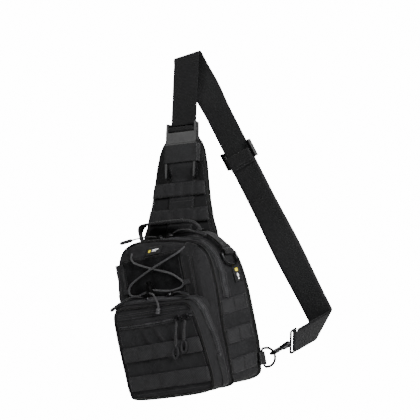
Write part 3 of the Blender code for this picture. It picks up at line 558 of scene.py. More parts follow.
def crumple(point, size, amount, seed=0.0):
    """Return a smooth pseudo-random height for a point in millimetres."""
    where = Vector(point) / size + Vector((seed, seed * 1.7, -seed))
    return amount * (noise.noise(where) + 0.5 * noise.noise(where * 2.3))


def folds(point, size, amount, seed, slant):
    """Return sharp-crested creases: mostly flat cloth with narrow ridges that run along a slant."""
    x, y, z = point
    a, b = math.cos(slant), math.sin(slant)
    where = Vector(((x * a + z * b) / size, y / size, (z * a - x * b) / (size * 3.2)))
    ridge = 1.0 - min(1.0, abs(noise.noise(where + Vector((seed, seed * 1.3, -seed)))) * 3.2)
    return amount * (ridge * ridge - 0.25)


# ---------------------------------------------------------------- body shell

REAR_KEYS = [(-101, 3), (0, 0), (99, 4), (115.5, 26), (120, 60), (120, 110), (118.5, 163), (111, 206),
             (95, 232), (70, 254), (38, 262), (0, 264), (-38, 263), (-70, 255), (-96, 236), (-113, 208),
             (-120, 163), (-121.5, 110), (-121.5, 60), (-117, 25)]
EDGE_KEYS = [(-88, 5), (0, 2), (91, 1), (100, 20), (101, 60), (101, 110), (103, 160), (101, 206), (93, 229),
             (76, 242), (41, 253), (0, 261), (-42, 265), (-71, 260), (-88, 244), (-98.5, 213), (-104, 170),
             (-102, 110), (-101, 60), (-98, 24)]
FACE_KEYS = [(-74, 9), (0, 8), (74, 9), (84, 26), (88, 60), (88, 110), (89, 160), (86, 200), (79, 219),
             (66, 229), (38, 235), (0, 237), (-36, 239), (-60, 238), (-76, 230), (-86, 205), (-90, 170),
             (-88, 110), (-88, 60), (-84, 26)]
PER_KEY = 9
REAR_Y, EDGE_Y, FACE_Y = -10.0, -69.0, -92.0




def outward(point):
    """Return the direction away from the body's long axis, in the body frame."""
    return Vector((point.x, 0.0, (point.z - 130.0) * 0.8)).normalized()


def ring_of(keys, y):
    return closed_curve([(x, y, z) for x, z in keys], PER_KEY)


REAR, EDGE, FACE = ring_of(REAR_KEYS, REAR_Y), ring_of(EDGE_KEYS, EDGE_Y), ring_of(FACE_KEYS, FACE_Y)


def gusset_point(index, share, lift=0.0):
    """Return a body-frame point on the gusset: share 0 at the rear rim, 1 at the front panel's bound edge."""
    a, b = REAR[index % len(REAR)], EDGE[index % len(EDGE)]
    point = a.lerp(b, share)
    out = outward(point)
    belly = math.sin(math.pi * share) * (1.0 - 0.6 * max(0.0, out.z) ** 6)
    wrinkle = crumple((point.x * 0.35, point.y * 1.6, point.z * 0.5), 17.0, 1.3, 3.0)
    wrinkle += folds((point.y, point.x * 0.3, point.z), 26.0, 2.4, 5.0, 0.9)
    return point + out * (1.6 * belly + wrinkle * belly + lift), out


def build_shell():
    """Gusset, sloped front panel and front face of the main compartment, as one sewn shell."""
    rows = [[gusset_point(k, i / 21)[0] for k in range(len(REAR))] for i in range(22)]
    for i in range(1, 12):
        share = i / 11
        row = []
        for a, b in zip(EDGE, FACE):
            point = a.lerp(b, share)
            top = clamp((point.z - 190.0) / 40.0)
            crease = crumple(point, 30.0, 1.2, 9.0) + folds(point, 21.0, 4.0, 12.0, 0.7) * (0.6 + 0.6 * top)
            normal = (outward(point) + Vector((0, -0.8, 0))).normalized()
            row.append(point + normal * math.sin(math.pi * share) * (1.8 + crease))
        rows.append(row)
    centre = Vector((0, FACE_Y - 0.5, 120))
    rows += [[p.lerp(centre, share) for p in FACE] for share in (0.12, 0.35, 0.65, 0.98)]
    shell = grid_piece("main_shell", [place(row) for row in rows], SHELL, closed=True)
    finished(shell, "main_compartment")

    outs = [outward(p) for p in EDGE]
    rope = [p + o * 0.8 + Vector((0, -0.4, 0)) for p, o in zip(EDGE, outs)]
    finished(tube("front_binding", place(rope), 2.3, TAPE, sides=8, closed=True))
    slope = [a.lerp(b, 0.18) + o * 1.2 + Vector((0, -0.8, 0)) for a, b, o in zip(EDGE, FACE, outs)]
    gusset = [gusset_point(k, 0.93, 0.25)[0] for k in range(len(EDGE))]
    outs = [BODY_TURN @ o for o in outs]
    lines = []
    for points in (slope, gusset):
        lines += stitch_places(place(points + points[:1]), outs, 4.0, 2.7, 0.5, 0.3)
    blocks("shell_stitches", lines, THREAD)


def build_back():
    """Padded back panel: quilted spacer mesh inside a bound rim."""
    rim = closed_curve([(x, 0, z) for x, z in REAR_KEYS], PER_KEY)
    rows = [[Vector((p.x * 0.985, -12.0, 131 + (p.z - 131) * 0.985)) for p in rim]]
    rows += [[Vector((p.x, y, p.z)) for p in rim] for y in (-9.0, -4.5)]
    side = grid_piece("back_rim", [place(r) for r in rows], SHELL_SMOOTH, closed=True)
    finished(side, None, 0.8, 0.0)
    rope = [Vector((p.x, -4.0, p.z)) for p in rim]
    binding = tube("back_binding", place(rope), 3.4, TAPE, sides=8, closed=True, flat=(BODY_FRONT, 1.25))
    finished(binding)
    centre = Vector((0, 0, 131))
    rows = []
    for share in steps_between(0.0, 1.0, 41):
        edge = min(1.0, share * 7.0)
        row = []
        for p in rim:
            point = p.lerp(centre, share)
            height = 3.2 * edge - 3.6
            height -= 3.0 * math.exp(-((abs(point.x) - 12.0) / 6.0) ** 2) * edge
            for level in (70.0, 131.0, 192.0):
                height -= 2.2 * math.exp(-((point.z - level) / 5.0) ** 2) * edge * (abs(point.x) > 14.0)
            row.append(Vector((point.x, height + crumple(point, 30.0, 0.35, 5.0), point.z)))
        rows.append(row)
    pad = grid_piece("back_pad", [place(r) for r in rows], MESH_CLOTH, closed=True)
    finished(pad, "back_panel")


# ---------------------------------------------------------------- front pocket

POCKET_FACE_KEYS = [(-67, 2), (10, -1), (82, 1), (95, 16), (93, 50), (89, 82), (83, 118), (77, 138),
                    (67, 147), (40, 150), (5, 152), (-38, 154), (-70, 156), (-84.5, 147), (-86.5, 118),
                    (-85, 82), (-83, 50), (-80, 14)]
POCKET_ROOT_KEYS = [(-78, 3, -72), (5, 1, -72), (86, 2, -72), (97, 18, -72), (98, 50, -75), (97.5, 82, -79),
                    (97, 120, -84), (95, 142, -88), (87, 154, -93), (55, 161, -97.5), (5, 167, -98.5),
                    (-40, 171, -98.5), (-74, 171, -98), (-90, 160, -96), (-92, 122, -86), (-91, 84, -80),
                    (-90, 50, -75), (-88, 16, -72)]
POCKET_PER = 10
POCKET_Y = -117.0
POCKET_FACE = closed_curve([(x, POCKET_Y, z) for x, z in POCKET_FACE_KEYS], POCKET_PER)
POCKET_ROOT = closed_curve([(x, y, z) for x, z, y in POCKET_ROOT_KEYS], POCKET_PER)


def pocket_out(point):
    return Vector((point.x - 3.0, 0.0, (point.z - 78.0))).normalized()


def pocket_side(index, share, lift=0.0):
    """Return a body-frame point on the pocket's gusset: share 0 at the front seam, 1 at the body."""
    a, b = POCKET_FACE[index % len(POCKET_FACE)], POCKET_ROOT[index % len(POCKET_ROOT)]
    point = a.lerp(b, share)
    out = pocket_out(point)
    belly = math.sin(math.pi * share)
    wrinkle = crumple((point.x * 0.4, point.y * 1.5, point.z * 0.45), 12.0, 1.1, 21.0)
    return point + out * (2.2 * belly + wrinkle * belly + lift), out


def pocket_left_edge(z):
    return -78.5 - 7.5 * clamp((z - 5) / 125.0)


def pocket_right_edge(z):
    return 95.5 - 18.0 * clamp((z - 20) / 120.0) ** 1.25


def arch(share):
    """Return a half wave: nothing at shares 0 and 1, most between them."""
    return max(0.0, math.sin(math.pi * clamp(share)))


def pocket_face_y(x, z):
    """Return the depth of the pocket's slightly full front at a place."""
    left, right = pocket_left_edge(z), pocket_right_edge(z)
    s = (x - left) / (right - left)
    crease = folds((x, 0, z), 26.0, 2.6, 33.0, 0.5) * (1.0 if z > 92 or z < 12 else 0.35)
    near_zip = max(0.0, 1.0 - abs(z - 112.0) / 22.0) * max(0.0, 0.7 - s)
    crease += folds((x, 0, z), 11.0, 1.2, 41.0, 0.1) * near_zip
    full = 3.2 + crumple((x, 0, z), 34.0, 0.9, 31.0) + crease
    return POCKET_Y - full * arch(s) ** 0.6 * arch(z / 152.0) ** 0.5


def build_pocket():
    rows = [[pocket_side(k, 1.0 - i / 13)[0] for k in range(len(POCKET_FACE))] for i in range(14)]
    centre = Vector((6, POCKET_Y, 78))
    for i in range(1, 30):
        full = min(1, i / 2)
        row = []
        for p in POCKET_FACE:
            point = p.lerp(centre, i / 29.5)
            point.y = pocket_face_y(point.x, point.z) * full + POCKET_Y * (1 - full)
            row.append(point)
        rows.append(row)
    shell = grid_piece("pocket_shell", [place(r) for r in rows], SHELL, closed=True)
    finished(shell, "front_pocket")
    rope = [p + pocket_out(p) + Vector((0, -0.8, 0)) for p in POCKET_FACE]
    finished(tube("pocket_piping", place(rope), 1.9, TAPE, sides=8, closed=True))

    paths = []
    for level, start, end in ((147.5, -78, 66), (144.5, -78, 67), (139.5, -79, 69), (8.0, -68, 84)):
        drop = 4.5 * (level > 100)
        paths.append([(x, level - drop * (x + 78) / 145.0) for x in steps_between(start, end, 60)])
    for edge, inset in ((pocket_left_edge, 4.5), (pocket_right_edge, -4.5)):
        paths.append([(edge(z) + inset, z) for z in steps_between(10, 138, 50)])
    lines = []
    for path in paths:
        points = [Vector((x, pocket_face_y(x, z) - 0.15, z)) for x, z in path]
        lines += stitch_places(place(points), [BODY_FRONT], height=0.3)
    blocks("pocket_stitches", lines, THREAD)


def row_piece(name, node, surface, span, low, tacks, finish=WEB, lift=2.4):
    """Make a webbing row sewn down at its tacks, and return the block places of those tacks.

    surface(s, z) gives (point, outward direction) in the world.
    """
    start, end = span
    steps = tacks * 8
    rows = []
    for t in steps_between(0.0, 1.0, 7):
        row = []
        for k in range(steps + 1):
            puff = abs(math.sin(math.pi * k / 8.0)) ** 0.8
            point, out = surface(start + (end - start) * k / steps, low + ROW_HEIGHT * t)
            row.append(point + out * (0.7 + lift * puff * (0.82 + 0.18 * math.sin(math.pi * t))))
        rows.append(row)
    finished(grid_piece(name, rows, finish), node, 1.5)
    middle = low + ROW_HEIGHT / 2
    places = []
    for k in range(0, steps + 1, 8):
        s = start + (end - start) * min(max(k, 1), steps - 1) / steps
        point = surface(s, middle)[0]
        up = (surface(s, middle + 4.0)[0] - point).normalized()
        across = (surface(s + 0.4, middle)[0] - point).normalized()
        for level in steps_between(low + 2.0, low + ROW_HEIGHT - 2.0, 9):
            spot, out = surface(s, level)
            places.append((spot + out * 1.9, across, up, out, (1.7, 1.5, 0.35)))
    return places


def pocket_surface(s, z):
    left, right = pocket_left_edge(z), pocket_right_edge(z)
    x = left + (right - left) * s
    return BODY @ Vector((x, pocket_face_y(x, z), z)), BODY_FRONT


def outline_x(ring, z, side):
    """Return how far out a ring stands at a height on one side."""
    best = None
    for a, b in zip(ring, ring[1:] + ring[:1]):
        if a.x * side < 40 or (a.z - z) * (b.z - z) > 0 or abs(a.z - b.z) < 1e-6:
            continue
        best = a.x + (b.x - a.x) * (z - a.z) / (b.z - a.z)
    return best if best is not None else side * 100.0


def side_surface(side):
    """Return surface(y, z) on one side's gusset, in the world."""
    def surface(y, z):
        z = z + (y + 68.0) * 0.1
        a, b = outline_x(REAR, z, side), outline_x(EDGE, z, side)
        share = (y - REAR_Y) / (EDGE_Y - REAR_Y)
        x = a + (b - a) * share + side * 1.6 * math.sin(math.pi * clamp(share))
        slope = (b - a) / (EDGE_Y - REAR_Y)
        normal = Vector((1.0, -slope, 0)).normalized() * side
        return BODY @ Vector((x, y, z)), BODY_TURN @ normal
    return surface


def build_rows():
    places = []
    for level, low in (("upper", 65.0), ("lower", 15.0)):
        places += row_piece("pocket_row_" + level, "pocket_webbing_" + level, pocket_surface,
                            (0.012, 0.988), low, 5)
    for side, label in SIDES:
        surface = side_surface(side)
        for k, low in enumerate((16.0, 66.0, 116.0)):
            node = None if k else "side_webbing_" + label
            places += row_piece("side_row_%s_%d" % (label, k), node, surface, (-12.0, -68.0), low, 2,
                                lift=2.0)
    blocks("bar_tacks", places, TACK)


# ---------------------------------------------------------------- front trim

def face_y(x, z):
    """Return the main compartment's front depth: flat, then sloping back above the panel."""
    top = 236.0 - 6.0 * max(0.0, x - 20.0) / 60.0
    return FACE_Y + max(0.0, z - top) * 0.85


def front_sheet(name, node, x, z, finish, lift, thickness, steps, seed, amount):
    """A cloth piece lying on the body's front between two x and two z values."""
    rows = []
    for pz in steps_between(*z, steps[1] + 1):
        row = []
        for px in steps_between(*x, steps[0] + 1):
            rise = crumple((px, 0, pz), 24.0, amount, seed)
            row.append(BODY @ Vector((px, face_y(px, pz) - lift - rise, pz)))
        rows.append(row)
    finished(grid_piece(name, rows, finish), node, thickness)


def slope_strip():
    """Right strip: up the front face, over its top edge and back along the slope to the bound edge."""
    rows = []
    face_at, edge_at = FACE[8 * PER_KEY:10 * PER_KEY], EDGE[8 * PER_KEY:10 * PER_KEY]
    for x in steps_between(58.5, 80.0, 7):
        start = min(face_at, key=lambda p: abs(p.x - x))
        end = min(edge_at, key=lambda p: abs(p.x - x - 4.0))
        column = [Vector((x, FACE_Y, 150.0)), Vector((x, FACE_Y, 190.0)), Vector((x, FACE_Y, start.z - 6.0)),
                  start.lerp(end, 0.12) + Vector((0, -0.6, 1.2)), start.lerp(end, 0.5) + Vector((0, 0, 2.0)),
                  start.lerp(end, 0.9) + Vector((0, 0, 1.4))]
        rows.append(place([p + Vector((0, -0.9, 0.5)) for p in open_curve(column, 40)]))
    finished(grid_piece("strip_right", transposed(rows), STRIP_WEB), "front_strip_right", 1.6)


def build_front():
    front_sheet("loop_field", "loop_panel", (-66.0, 58.0), (158.0, 236.0), LOOP,
                0.6, 1.4, (24, 24), 4.0, 0.5)
    front_sheet("strip_left", "front_strip_left", (-84.0, -66.5), (150.0, 234.0), STRIP_WEB,
                0.8, 1.6, (6, 30), 6.0, 0.4)
    slope_strip()
    front_sheet("panel_edge", None, (-67.0, 60.0), (233.5, 239.5), TAPE,
                0.9, 1.1, (30, 3), 8.0, 0.3)
    paths = []
    for x in (-82.0, -79.5, -71.0, -68.5, -63.5, 55.5, 61.0, 63.5, 75.0, 77.5):
        paths.append([Vector((x, face_y(x, z) - 2.8, z)) for z in range(156, 227, 5)])
    top = 236.5
    paths.append([Vector((x, face_y(x, top) - 2.2, top)) for x in range(-64, 58, 5)])
    lines = []
    for points in paths:
        lines += stitch_places(place(points), [BODY_FRONT])
    blocks("front_stitches", lines, THREAD)
    build_label()
    build_side_tag()


def build_label():
    """Plain woven patch with a yellow and a pale block, no lettering."""
    rows = []
    for z in steps_between(236.5, 250.0, 7):
        y = FACE_Y + 23.0 * (z - 236.0) / 26.0 - 2.4
        rows.append([BODY @ Vector((x, y, z + 2.0)) for x in steps_between(-14.0, 17.0, 13)])
    finished(grid_piece("label_cloth", rows, SHELL_SMOOTH), "label_patch", 1.3)
    up = (rows[6][6] - rows[0][6]).normalized()
    across = (rows[3][12] - rows[3][0]).normalized()
    out = across.cross(up).normalized()
    centre = rows[3][6] + out * 1.5
    blocks("label_block_yellow", [(centre - across * 9.2, across, up, out, (5.0, 5.6, 0.4))], YELLOW)
    blocks("label_block_pale", [(centre + across * 3.4 + up * 1.3, across, up, out, (14.5, 1.7, 0.4)),
                                (centre + across * 1.2 - up * 1.5, across, up, out, (10.0, 1.3, 0.4))], PALE)


def build_side_tag():
    """Folded cloth tag sewn into the right rear rim and lying forward on the gusset."""
    rows = []
    for z in steps_between(168.0, 195.0, 9):
        base, edge = outline_x(REAR, z, 1), outline_x(EDGE, z, 1)
        row = []
        for s in steps_between(0.0, 1.0, 11):
            y = -11.5 - 18.5 * s
            x = base + (edge - base) * (y - REAR_Y) / (EDGE_Y - REAR_Y)
            row.append(BODY @ Vector((x + 2.4 + 1.6 * s * s, y, z - 1.2 * s)))
        rows.append(row)
    finished(grid_piece("tag_cloth", rows, SHELL_SMOOTH), "side_label", 1.0, 0.0)
    up = (rows[8][5] - rows[0][5]).normalized()
    across = (rows[4][7] - rows[4][3]).normalized()
    out = up.cross(across).normalized()
    if (BODY_TURN @ Vector((1, 0, 0))).dot(out) < 0:
        out = -out
    centre = rows[4][5] + out * 0.6
    blocks("tag_block_yellow", [(centre + up * 7.0, up, across, out, (6.0, 7.0, 0.3))], YELLOW)
    blocks("tag_block_pale", [(centre - up * 2.5, up, across, out, (6.5, 4.0, 0.3)),
                              (centre - up * 8.5, up, across, out, (2.6, 4.0, 0.3))], PALE)


# ---------------------------------------------------------------- zips

def zip_set(name, points, across, outs, width, tooth, reach):
    """Zip along world points: two tapes, a row of coil teeth and a stitch line on each tape."""
    rows = ribbon_rows(points, across, width / 2 + 4.0)
    finished(grid_piece(name + "_tape", rows, SHELL_SMOOTH), None, 0.7, 0.0)
    count = int(length_of(points) / tooth)
    spots = spread(points, count)
    places = []
    for i, (spot, along) in enumerate(zip(spots, tangents(spots))):
        k = min(int(i / count * len(points)), len(points) - 1)
        out, side = outs[k], across[k]
        shift = reach if i % 2 else -reach
        places.append((spot + out * 0.3 + side * shift, side, along, out, (reach * 1.9, 2.0, 1.5)))
    blocks(name + "_teeth", places, TEETH, node=name + "_chain")
    lines = []
    for shift in (-(width / 2 + 2.2), width / 2 + 2.2):
        line = [p + a * shift + o * 0.4 for p, a, o in zip(points, across, outs)]
        lines += stitch_places(line, outs, width=0.45, height=0.3)
    blocks(name + "_stitches", lines, THREAD)


def zip_path(surface, spots, share_at, lift):
    """Return world points, directions across and outward directions along a gusset."""
    points, across, outs = [], [], []
    for k in spots:
        share = share_at(k)
        point, out = surface(k, share, lift)
        before, after = surface(k, share - 0.05, lift)[0], surface(k, share + 0.05, lift)[0]
        points.append(BODY @ point)
        across.append((BODY_TURN @ (after - before)).normalized())
        outs.append(BODY_TURN @ out)
    return points, across, outs


def pocket_zip_share(k):
    height = POCKET_FACE[k % len(POCKET_FACE)].z
    return 0.5 + 0.22 * clamp((140.0 - height) / 60.0)


def build_zips():
    spots = range(int(5.75 * PER_KEY), int(16.4 * PER_KEY) + 1)
    zip_set("main_zip", *zip_path(gusset_point, spots, lambda k: 0.73, 0.9), 8.0, 1.6, 1.75)
    spots = range(int(4.15 * POCKET_PER), int(14.2 * POCKET_PER) + 1)
    zip_set("pocket_zip", *zip_path(pocket_side, spots, pocket_zip_share, 0.8), 5.5, 1.5, 1.3)

    for label, spots in (("right", range(14, 43)), ("left", range(142, 172))):
        points, across = [], []
        for k in spots:
            out = BODY_TURN @ pocket_side(k, 0.66)[1]
            before, after = pocket_side(k, 0.56)[0], pocket_side(k, 0.76)[0]
            points.append(BODY @ pocket_side(k, 0.68, 1.0)[0] + out * 0.6)
            across.append((BODY_TURN @ (after - before)).normalized())
        garage = grid_piece("zip_garage_" + label, ribbon_rows(points, across, 8.5), WEB_UPRIGHT)
        finished(garage, None, 1.2)

    points = []
    for s in steps_between(0.0, 1.0, 60):
        x = -80.0 + 161.0 * s
        z = 127.5 - 2.5 * math.sin(math.pi * s * 0.9)
        points.append(BODY @ Vector((x, pocket_face_y(x, z) - 0.7, z)))
    zip_set("small_zip", points, [BODY_TURN @ UP] * 60, [BODY_FRONT] * 60, 3.6, 1.3, 0.85)
    rows = []
    for t in steps_between(0.0, 1.0, 6):
        row = []
        for s in steps_between(0.0, 1.0, 61):
            x = -82.0 + 163.0 * s
            z = 128.8 + 7.0 * t - 2.0 * math.sin(math.pi * s * 0.9)
            lift = 1.2 + 1.6 * math.sin(math.pi * (0.15 + 0.7 * (1 - t))) + crumple((x, 0, z), 14.0, 0.5, 2.0)
            row.append(BODY @ Vector((x, pocket_face_y(x, z) - lift, z)))
        rows.append(row)
    finished(grid_piece("small_zip_flap", rows, SHELL), None, 0.9)


# (name, route over the cloth, grip length, grip radius) of the four pulls that lie flat
LYING_PULLS = (
    ("main_left", [(-16, -52, 270.5), (-34, -54, 274), (-56, -59, 274.5), (-66, -61, 274)], 22.0, 3.9),
    ("main_right", [(22, -52, 270.5), (38, -53, 273), (57, -55, 270), (75, -57, 262.5)], 22.0, 3.9),
    ("pocket_left", [(-27, -104, 170), (-42, -107, 174), (-60, -110, 172.5), (-73, -113, 167)], 22.0, 3.7),
    ("pocket_right", [(38, -104, 168), (50, -106, 168.5), (60, -108, 165)], 16.0, 3.4),
)


def pull_cords(name, keys, side, twisted):
    """Make a pull's doubled cord, and return where its middle line ends and in which direction."""
    spine = open_curve(keys, 30)
    runs = []
    for shift in (-1.0, 1.0):
        run = []
        for k, point in enumerate(spine):
            twist = math.cos(4.5 * k / 29) if twisted else 1.0
            run.append(point + side * (shift * 1.5 * min(1.0, 0.3 + k / 6) * twist))
        runs.append(run)
    path = place(runs[0][::-1] + runs[1])
    cords = tube(name + "_cords", path, 1.1, PULL_CORD, sides=8, body=name + "_pull")
    finished(cords)
    return spine[-1], (spine[-1] - spine[-3]).normalized()


def build_pulls():
    """Cord pulls, each riding on its own pull body: four with ribbed grips, two hanging with oval rings."""
    side = Vector((0, 1, 0))
    for name, keys, grip, wide in LYING_PULLS:
        end, along = pull_cords(name, keys, side, False)
        line, radii = [], []
        for k, t in enumerate(steps_between(0.0, 1.0, 30)):
            line.append(end - along * 2.5 + along * (grip + 2.5) * t)
            swell = 0.55 + 0.45 * min(1.0, 3.0 * math.sin(math.pi * min(max(t, 0.015), 0.985)))
            radii.append(wide * swell * (1.0 - 0.09 * (k % 2) * (0.2 < t < 0.85)))
        flat = (BODY_TURN @ along.cross(side).normalized(), 0.85)
        knob = tube(name + "_grip", place(line), wide, GRIP, sides=14, body=name + "_pull",
                    radii=radii, flat=flat)
        finished(knob, name + "_pull")
    side = Vector((1, 0, 0))
    plumb = BODY_TURN.inverted() @ Vector((0, 0, -1))
    for name, x, length, tilt in (("small_left", 50.0, 58.0, -0.06), ("small_right", 68.0, 50.0, -0.1)):
        top, lean = Vector((x, -125.5, 120.0)), Vector((tilt, 0, 0))
        keys = [top, top + (plumb + lean) * 20.0, top + (plumb + lean * 0.6) * (length - 15.0)]
        end, along = pull_cords(name, keys, side, True)
        oval = [end + along * (8.5 + 9.5 * a) + side * (5.4 * b) for a, b in arc((0.0, 0.0), 1.0, 0, 10, 36)]
        knob = tube(name + "_grip", place(oval), 1.7, GRIP, body=name + "_pull", closed=True)
        finished(knob, name + "_pull")


# ---------------------------------------------------------------- bungee, handle

def build_bungee():
    """Elastic cord crossed over the loop field through two corner loops, then into the lock."""
    keys = [(-2, -105.5, 179), (14, -103.0, 175.5), (31, -99.5, 172.5), (50, -96.6, 175), (57, -96.4, 182),
            (50, -96.8, 190), (33, -97.0, 202), (-7, -97.0, 217), (-36, -96.8, 230), (-46, -94.0, 239),
            (-50, -85.0, 249)]
    first = open_curve(keys, 120)
    keys = [(-14, -105.5, 179), (-26, -103.5, 176.5), (-42, -99.5, 174.5), (-57, -97.0, 177),
            (-62, -96.6, 185), (-54, -97.0, 196), (-30, -98.6, 206), (4, -100.6, 217),
            (37, -98.0, 227), (57, -94.5, 234), (64, -84.0, 241)]
    second = open_curve(keys, 120)
    finished(tube("elastic", place(first[::-1] + second), 1.75, CORD), "bungee_cord")
    spots = ((60.5, -95.0, 182, 1.5), (-65, -95.2, 185, -1.5))
    for k, (x, y, z, lean) in enumerate(spots):
        up = Vector((math.sin(lean), 0.25 * math.cos(lean), math.cos(lean))).normalized()
        side = up.cross(Vector((0, -1, 0))).normalized()
        out = side.cross(up).normalized()
        if out.y > 0:
            out = -out
        base = Vector((x, y, z))
        keys = [base + up * 9.0 + out * 0.6, base + up * 3.0 + out * 1.4, base - up * 1.6 + out * 2.6,
                base - up * 3.4 - out * 0.2, base - up * 1.8 - out * 2.0, base + up * 3.0 - out * 0.9,
                base + up * 9.0 - out * 0.7]
        points = place(open_curve(keys, 26))
        rows = ribbon_rows(points, [BODY_TURN @ side] * len(points), 4.6, steps=4)
        finished(grid_piece("elastic_tab_%d" % k, rows, WEB), None, 1.1, 0.0)


def build_tail():
    """The bungee's loose knotted end; the same route as its CAD solid."""
    keys = [(-4, -114.0, 175), (4, -117.5, 173), (11, -120.5, 167), (15, -122.0, 159), (16, -122.3, 150),
            (13, -122.3, 142)]
    points = [BODY @ p * MM for p in open_curve(keys, 16)]
    curve = bpy.data.curves.new("loose_end", "CURVE")
    curve.dimensions = "3D"
    curve.bevel_depth = 0.0016
    curve.bevel_resolution = 4
    curve.use_fill_caps = True
    spline = curve.splines.new("POLY")
    spline.points.add(len(points) - 1)
    for target, point in zip(spline.points, points):
        target.co = (*point, 1.0)
    curve.materials.append(CORD)
    tail = linked("loose_end", curve)
    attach(tail, "bag")
    finished(tail, "bungee_tail")
    end, along = points[-1] / MM, (points[-1] - points[-2]).normalized()
    knot = []
    for k in range(40):
        angle = 2 * math.pi * k / 39 * 2
        turned = Vector((math.cos(angle * 1.5), math.sin(angle * 1.5), 0))
        knot.append(end + along * (3.4 * math.sin(angle * 0.5) - 1.0) + turned * 2.1)
    ball = finished(tube("loose_knot", spread(knot, 48), 1.7, CORD, sides=8))


def build_handle():
    """Carry handle: thick double webbing arch gathered at both feet."""
    keys = [(-60, 266), (-62, 276), (-61, 288), (-54, 296), (-40, 297), (0, 294), (36, 289), (52, 284),
            (62, 277), (66, 270), (66, 266)]
    points = open_curve([(x, -35.0, z) for x, z in keys], 90)
    rows = []
    for i, (point, along) in enumerate(zip(points, tangents(points))):
        share = abs(2.0 * i / (len(points) - 1) - 1.0)
        half = 12.5 * (1.0 - 0.62 * clamp((share - 0.5) / 0.3) ** 1.3)
        normal = Vector((-along.z, 0, along.x))
        rows.append(place([point + Vector((0, s * half, 0)) + normal * (1.2 * (1 - s * s))
                           for s in steps_between(-1.0, 1.0, 11)]))
    band = grid_piece("handle_band", transposed(rows), WEB, body="carry_handle")
    finished(band, "carry_handle", 2.8, 0.0)
    soften(band, 0.6)
    axes = [BODY_TURN @ Vector(axis) for axis in ((1, 0, 0), (0, 1, 0), (0, 0, 1))]
    feet = []
    for x in (-60.5, 66.5):
        for k in range(9):
            feet.append((BODY @ Vector((x, -40.0 + 1.5 * k, 268.0)), *axes, (7.0, 1.2, 0.8)))
    blocks("handle_tacks", feet, THREAD)


# ---------------------------------------------------------------- neck and buckle

NECK_SECTIONS = [(-14.0, 76.0), (8.0, 71.5), (27.0, 65.0), (60.0, 58.5), (94.0, 54.0), (128.0, 50.0),
                 (155.0, 45.0), (170.0, 38.5), (180.0, 30.0), (186.0, 18.0)]


def neck_half_width(z):
    for (low, a), (high, b) in zip(NECK_SECTIONS, NECK_SECTIONS[1:]):
        if z <= high:
            return a + (b - a) * clamp((z - low) / (high - low))
    return NECK_SECTIONS[-1][1]


def neck_profile(z, steps=48):
    """Return the padded panel's outline at a height: flat seam flange, cushioned front and back."""
    half = neck_half_width(z)
    end = clamp((186.5 - z) / 14.0) ** 0.5
    points = []
    for k in range(steps):
        angle = 2 * math.pi * k / steps
        c, s = math.cos(angle), math.sin(angle)
        x = half * math.copysign(abs(c) ** 0.45, c)
        inner = max(0.0, 1.0 - abs(x) / half)
        puff = min(1.0, inner * 6.0)
        y = math.copysign(1.6 + 4.6 * puff ** 0.6 * end, s) * min(1.0, abs(s) * 5.0)
        y += crumple((x, y, z), 26.0, 0.6, 11.0) * puff
        y -= 0.5 * math.exp(-((abs(x) - half + 7.0) / 1.6) ** 2) * math.copysign(1.0, s)
        points.append(Vector((x, y, z)))
    return points


def neck_spot(x, y, z):
    """Return a world point on the neck; x counts from the webbing's middle, which shifts on its way up."""
    return NECK @ Vector((BUCKLE_X * z / 120 + x, y, z))


def build_neck():
    """Padded neck panel with its bound rim, edge stitches and two sewn webbing rows."""
    rows = [place(neck_profile(z), NECK) for z in steps_between(-14.0, 186.0, 56)]
    panel = grid_piece("neck_pad", rows, NECK_CLOTH, closed=True, caps=True)
    finished(panel, "neck_panel")
    right = [Vector((neck_half_width(z) - 0.6, 0, z)) for z in [-10.0 + 6.0 * k for k in range(33)]]
    left = [Vector((-p.x, 0, p.z)) for p in reversed(right)]
    rim = place(open_curve(right + left, 150), NECK)
    finished(tube("neck_binding", rim, 2.7, TAPE, sides=8, flat=(NECK_FRONT, 0.85)))
    lines = []
    for inset in (5.5, 9.0):
        for side in (-1, 1):
            points = [Vector((side * (neck_half_width(z) - inset), -5.3, z)) for z in range(4, 170, 6)]
            lines += stitch_places(place(points, NECK), [NECK_FRONT])
    blocks("neck_stitches", lines, THREAD)

    def surface(s, z):
        return NECK @ Vector((s * (neck_half_width(z) - 3.5), -8.4, z)), NECK_FRONT

    places = []
    for level, low in (("upper", 72.0), ("lower", 24.0)):
        places += row_piece("neck_row_" + level, "neck_webbing_" + level, surface, (-1.0, 1.0), low, 5,
                            WEB_UPRIGHT, lift=1.4)
    blocks("neck_tacks", places, TACK)
    build_anchor()
    build_keeper()


def build_anchor():
    """Webbing from the neck's face up round the female buckle's bar and back down behind itself."""
    keys = [(-7.0, 6.0), (-7.2, 30.0), (-7.3, 60.0), (-7.6, 92.0), (-9.4, 104.0), (-15.6, 114.5),
            (-20.0, 123.0)]
    path = open_curve([(0, y, z) for y, z in keys], 60)
    path += [Vector((0, y, z)) for y, z in arc((-17.0, 132.0), 3.7, 165, -15, 12)]
    path += [Vector((0, -13.5, 124.0)), Vector((0, -13.7, 117.0))]
    rows = []
    for point in path:
        shift = BUCKLE_X * min(1.0, point.z / 120)
        rows.append([NECK @ Vector((shift + 25.0 * (k / 5 - 1), point.y, point.z)) for k in range(11)])
    finished(grid_piece("anchor_band", rows, WEB_ANCHOR), "neck_anchor_webbing", 1.8, 0.0)
    paths = []
    for z in (15.0, 20.0, 63.0, 68.0, 101.0):
        paths.append([neck_spot(x, -9.1 if z > 100 else -8.5, z) for x in range(-23, 24, 4)])
    for x in (-22.5, 22.5):
        paths.append([neck_spot(x, -8.4, z) for z in range(50, 70, 4)])
    lines = []
    for points in paths:
        lines += stitch_places(points, [NECK_FRONT], 3.0, 2.2)
    blocks("anchor_stitches", lines, THREAD)


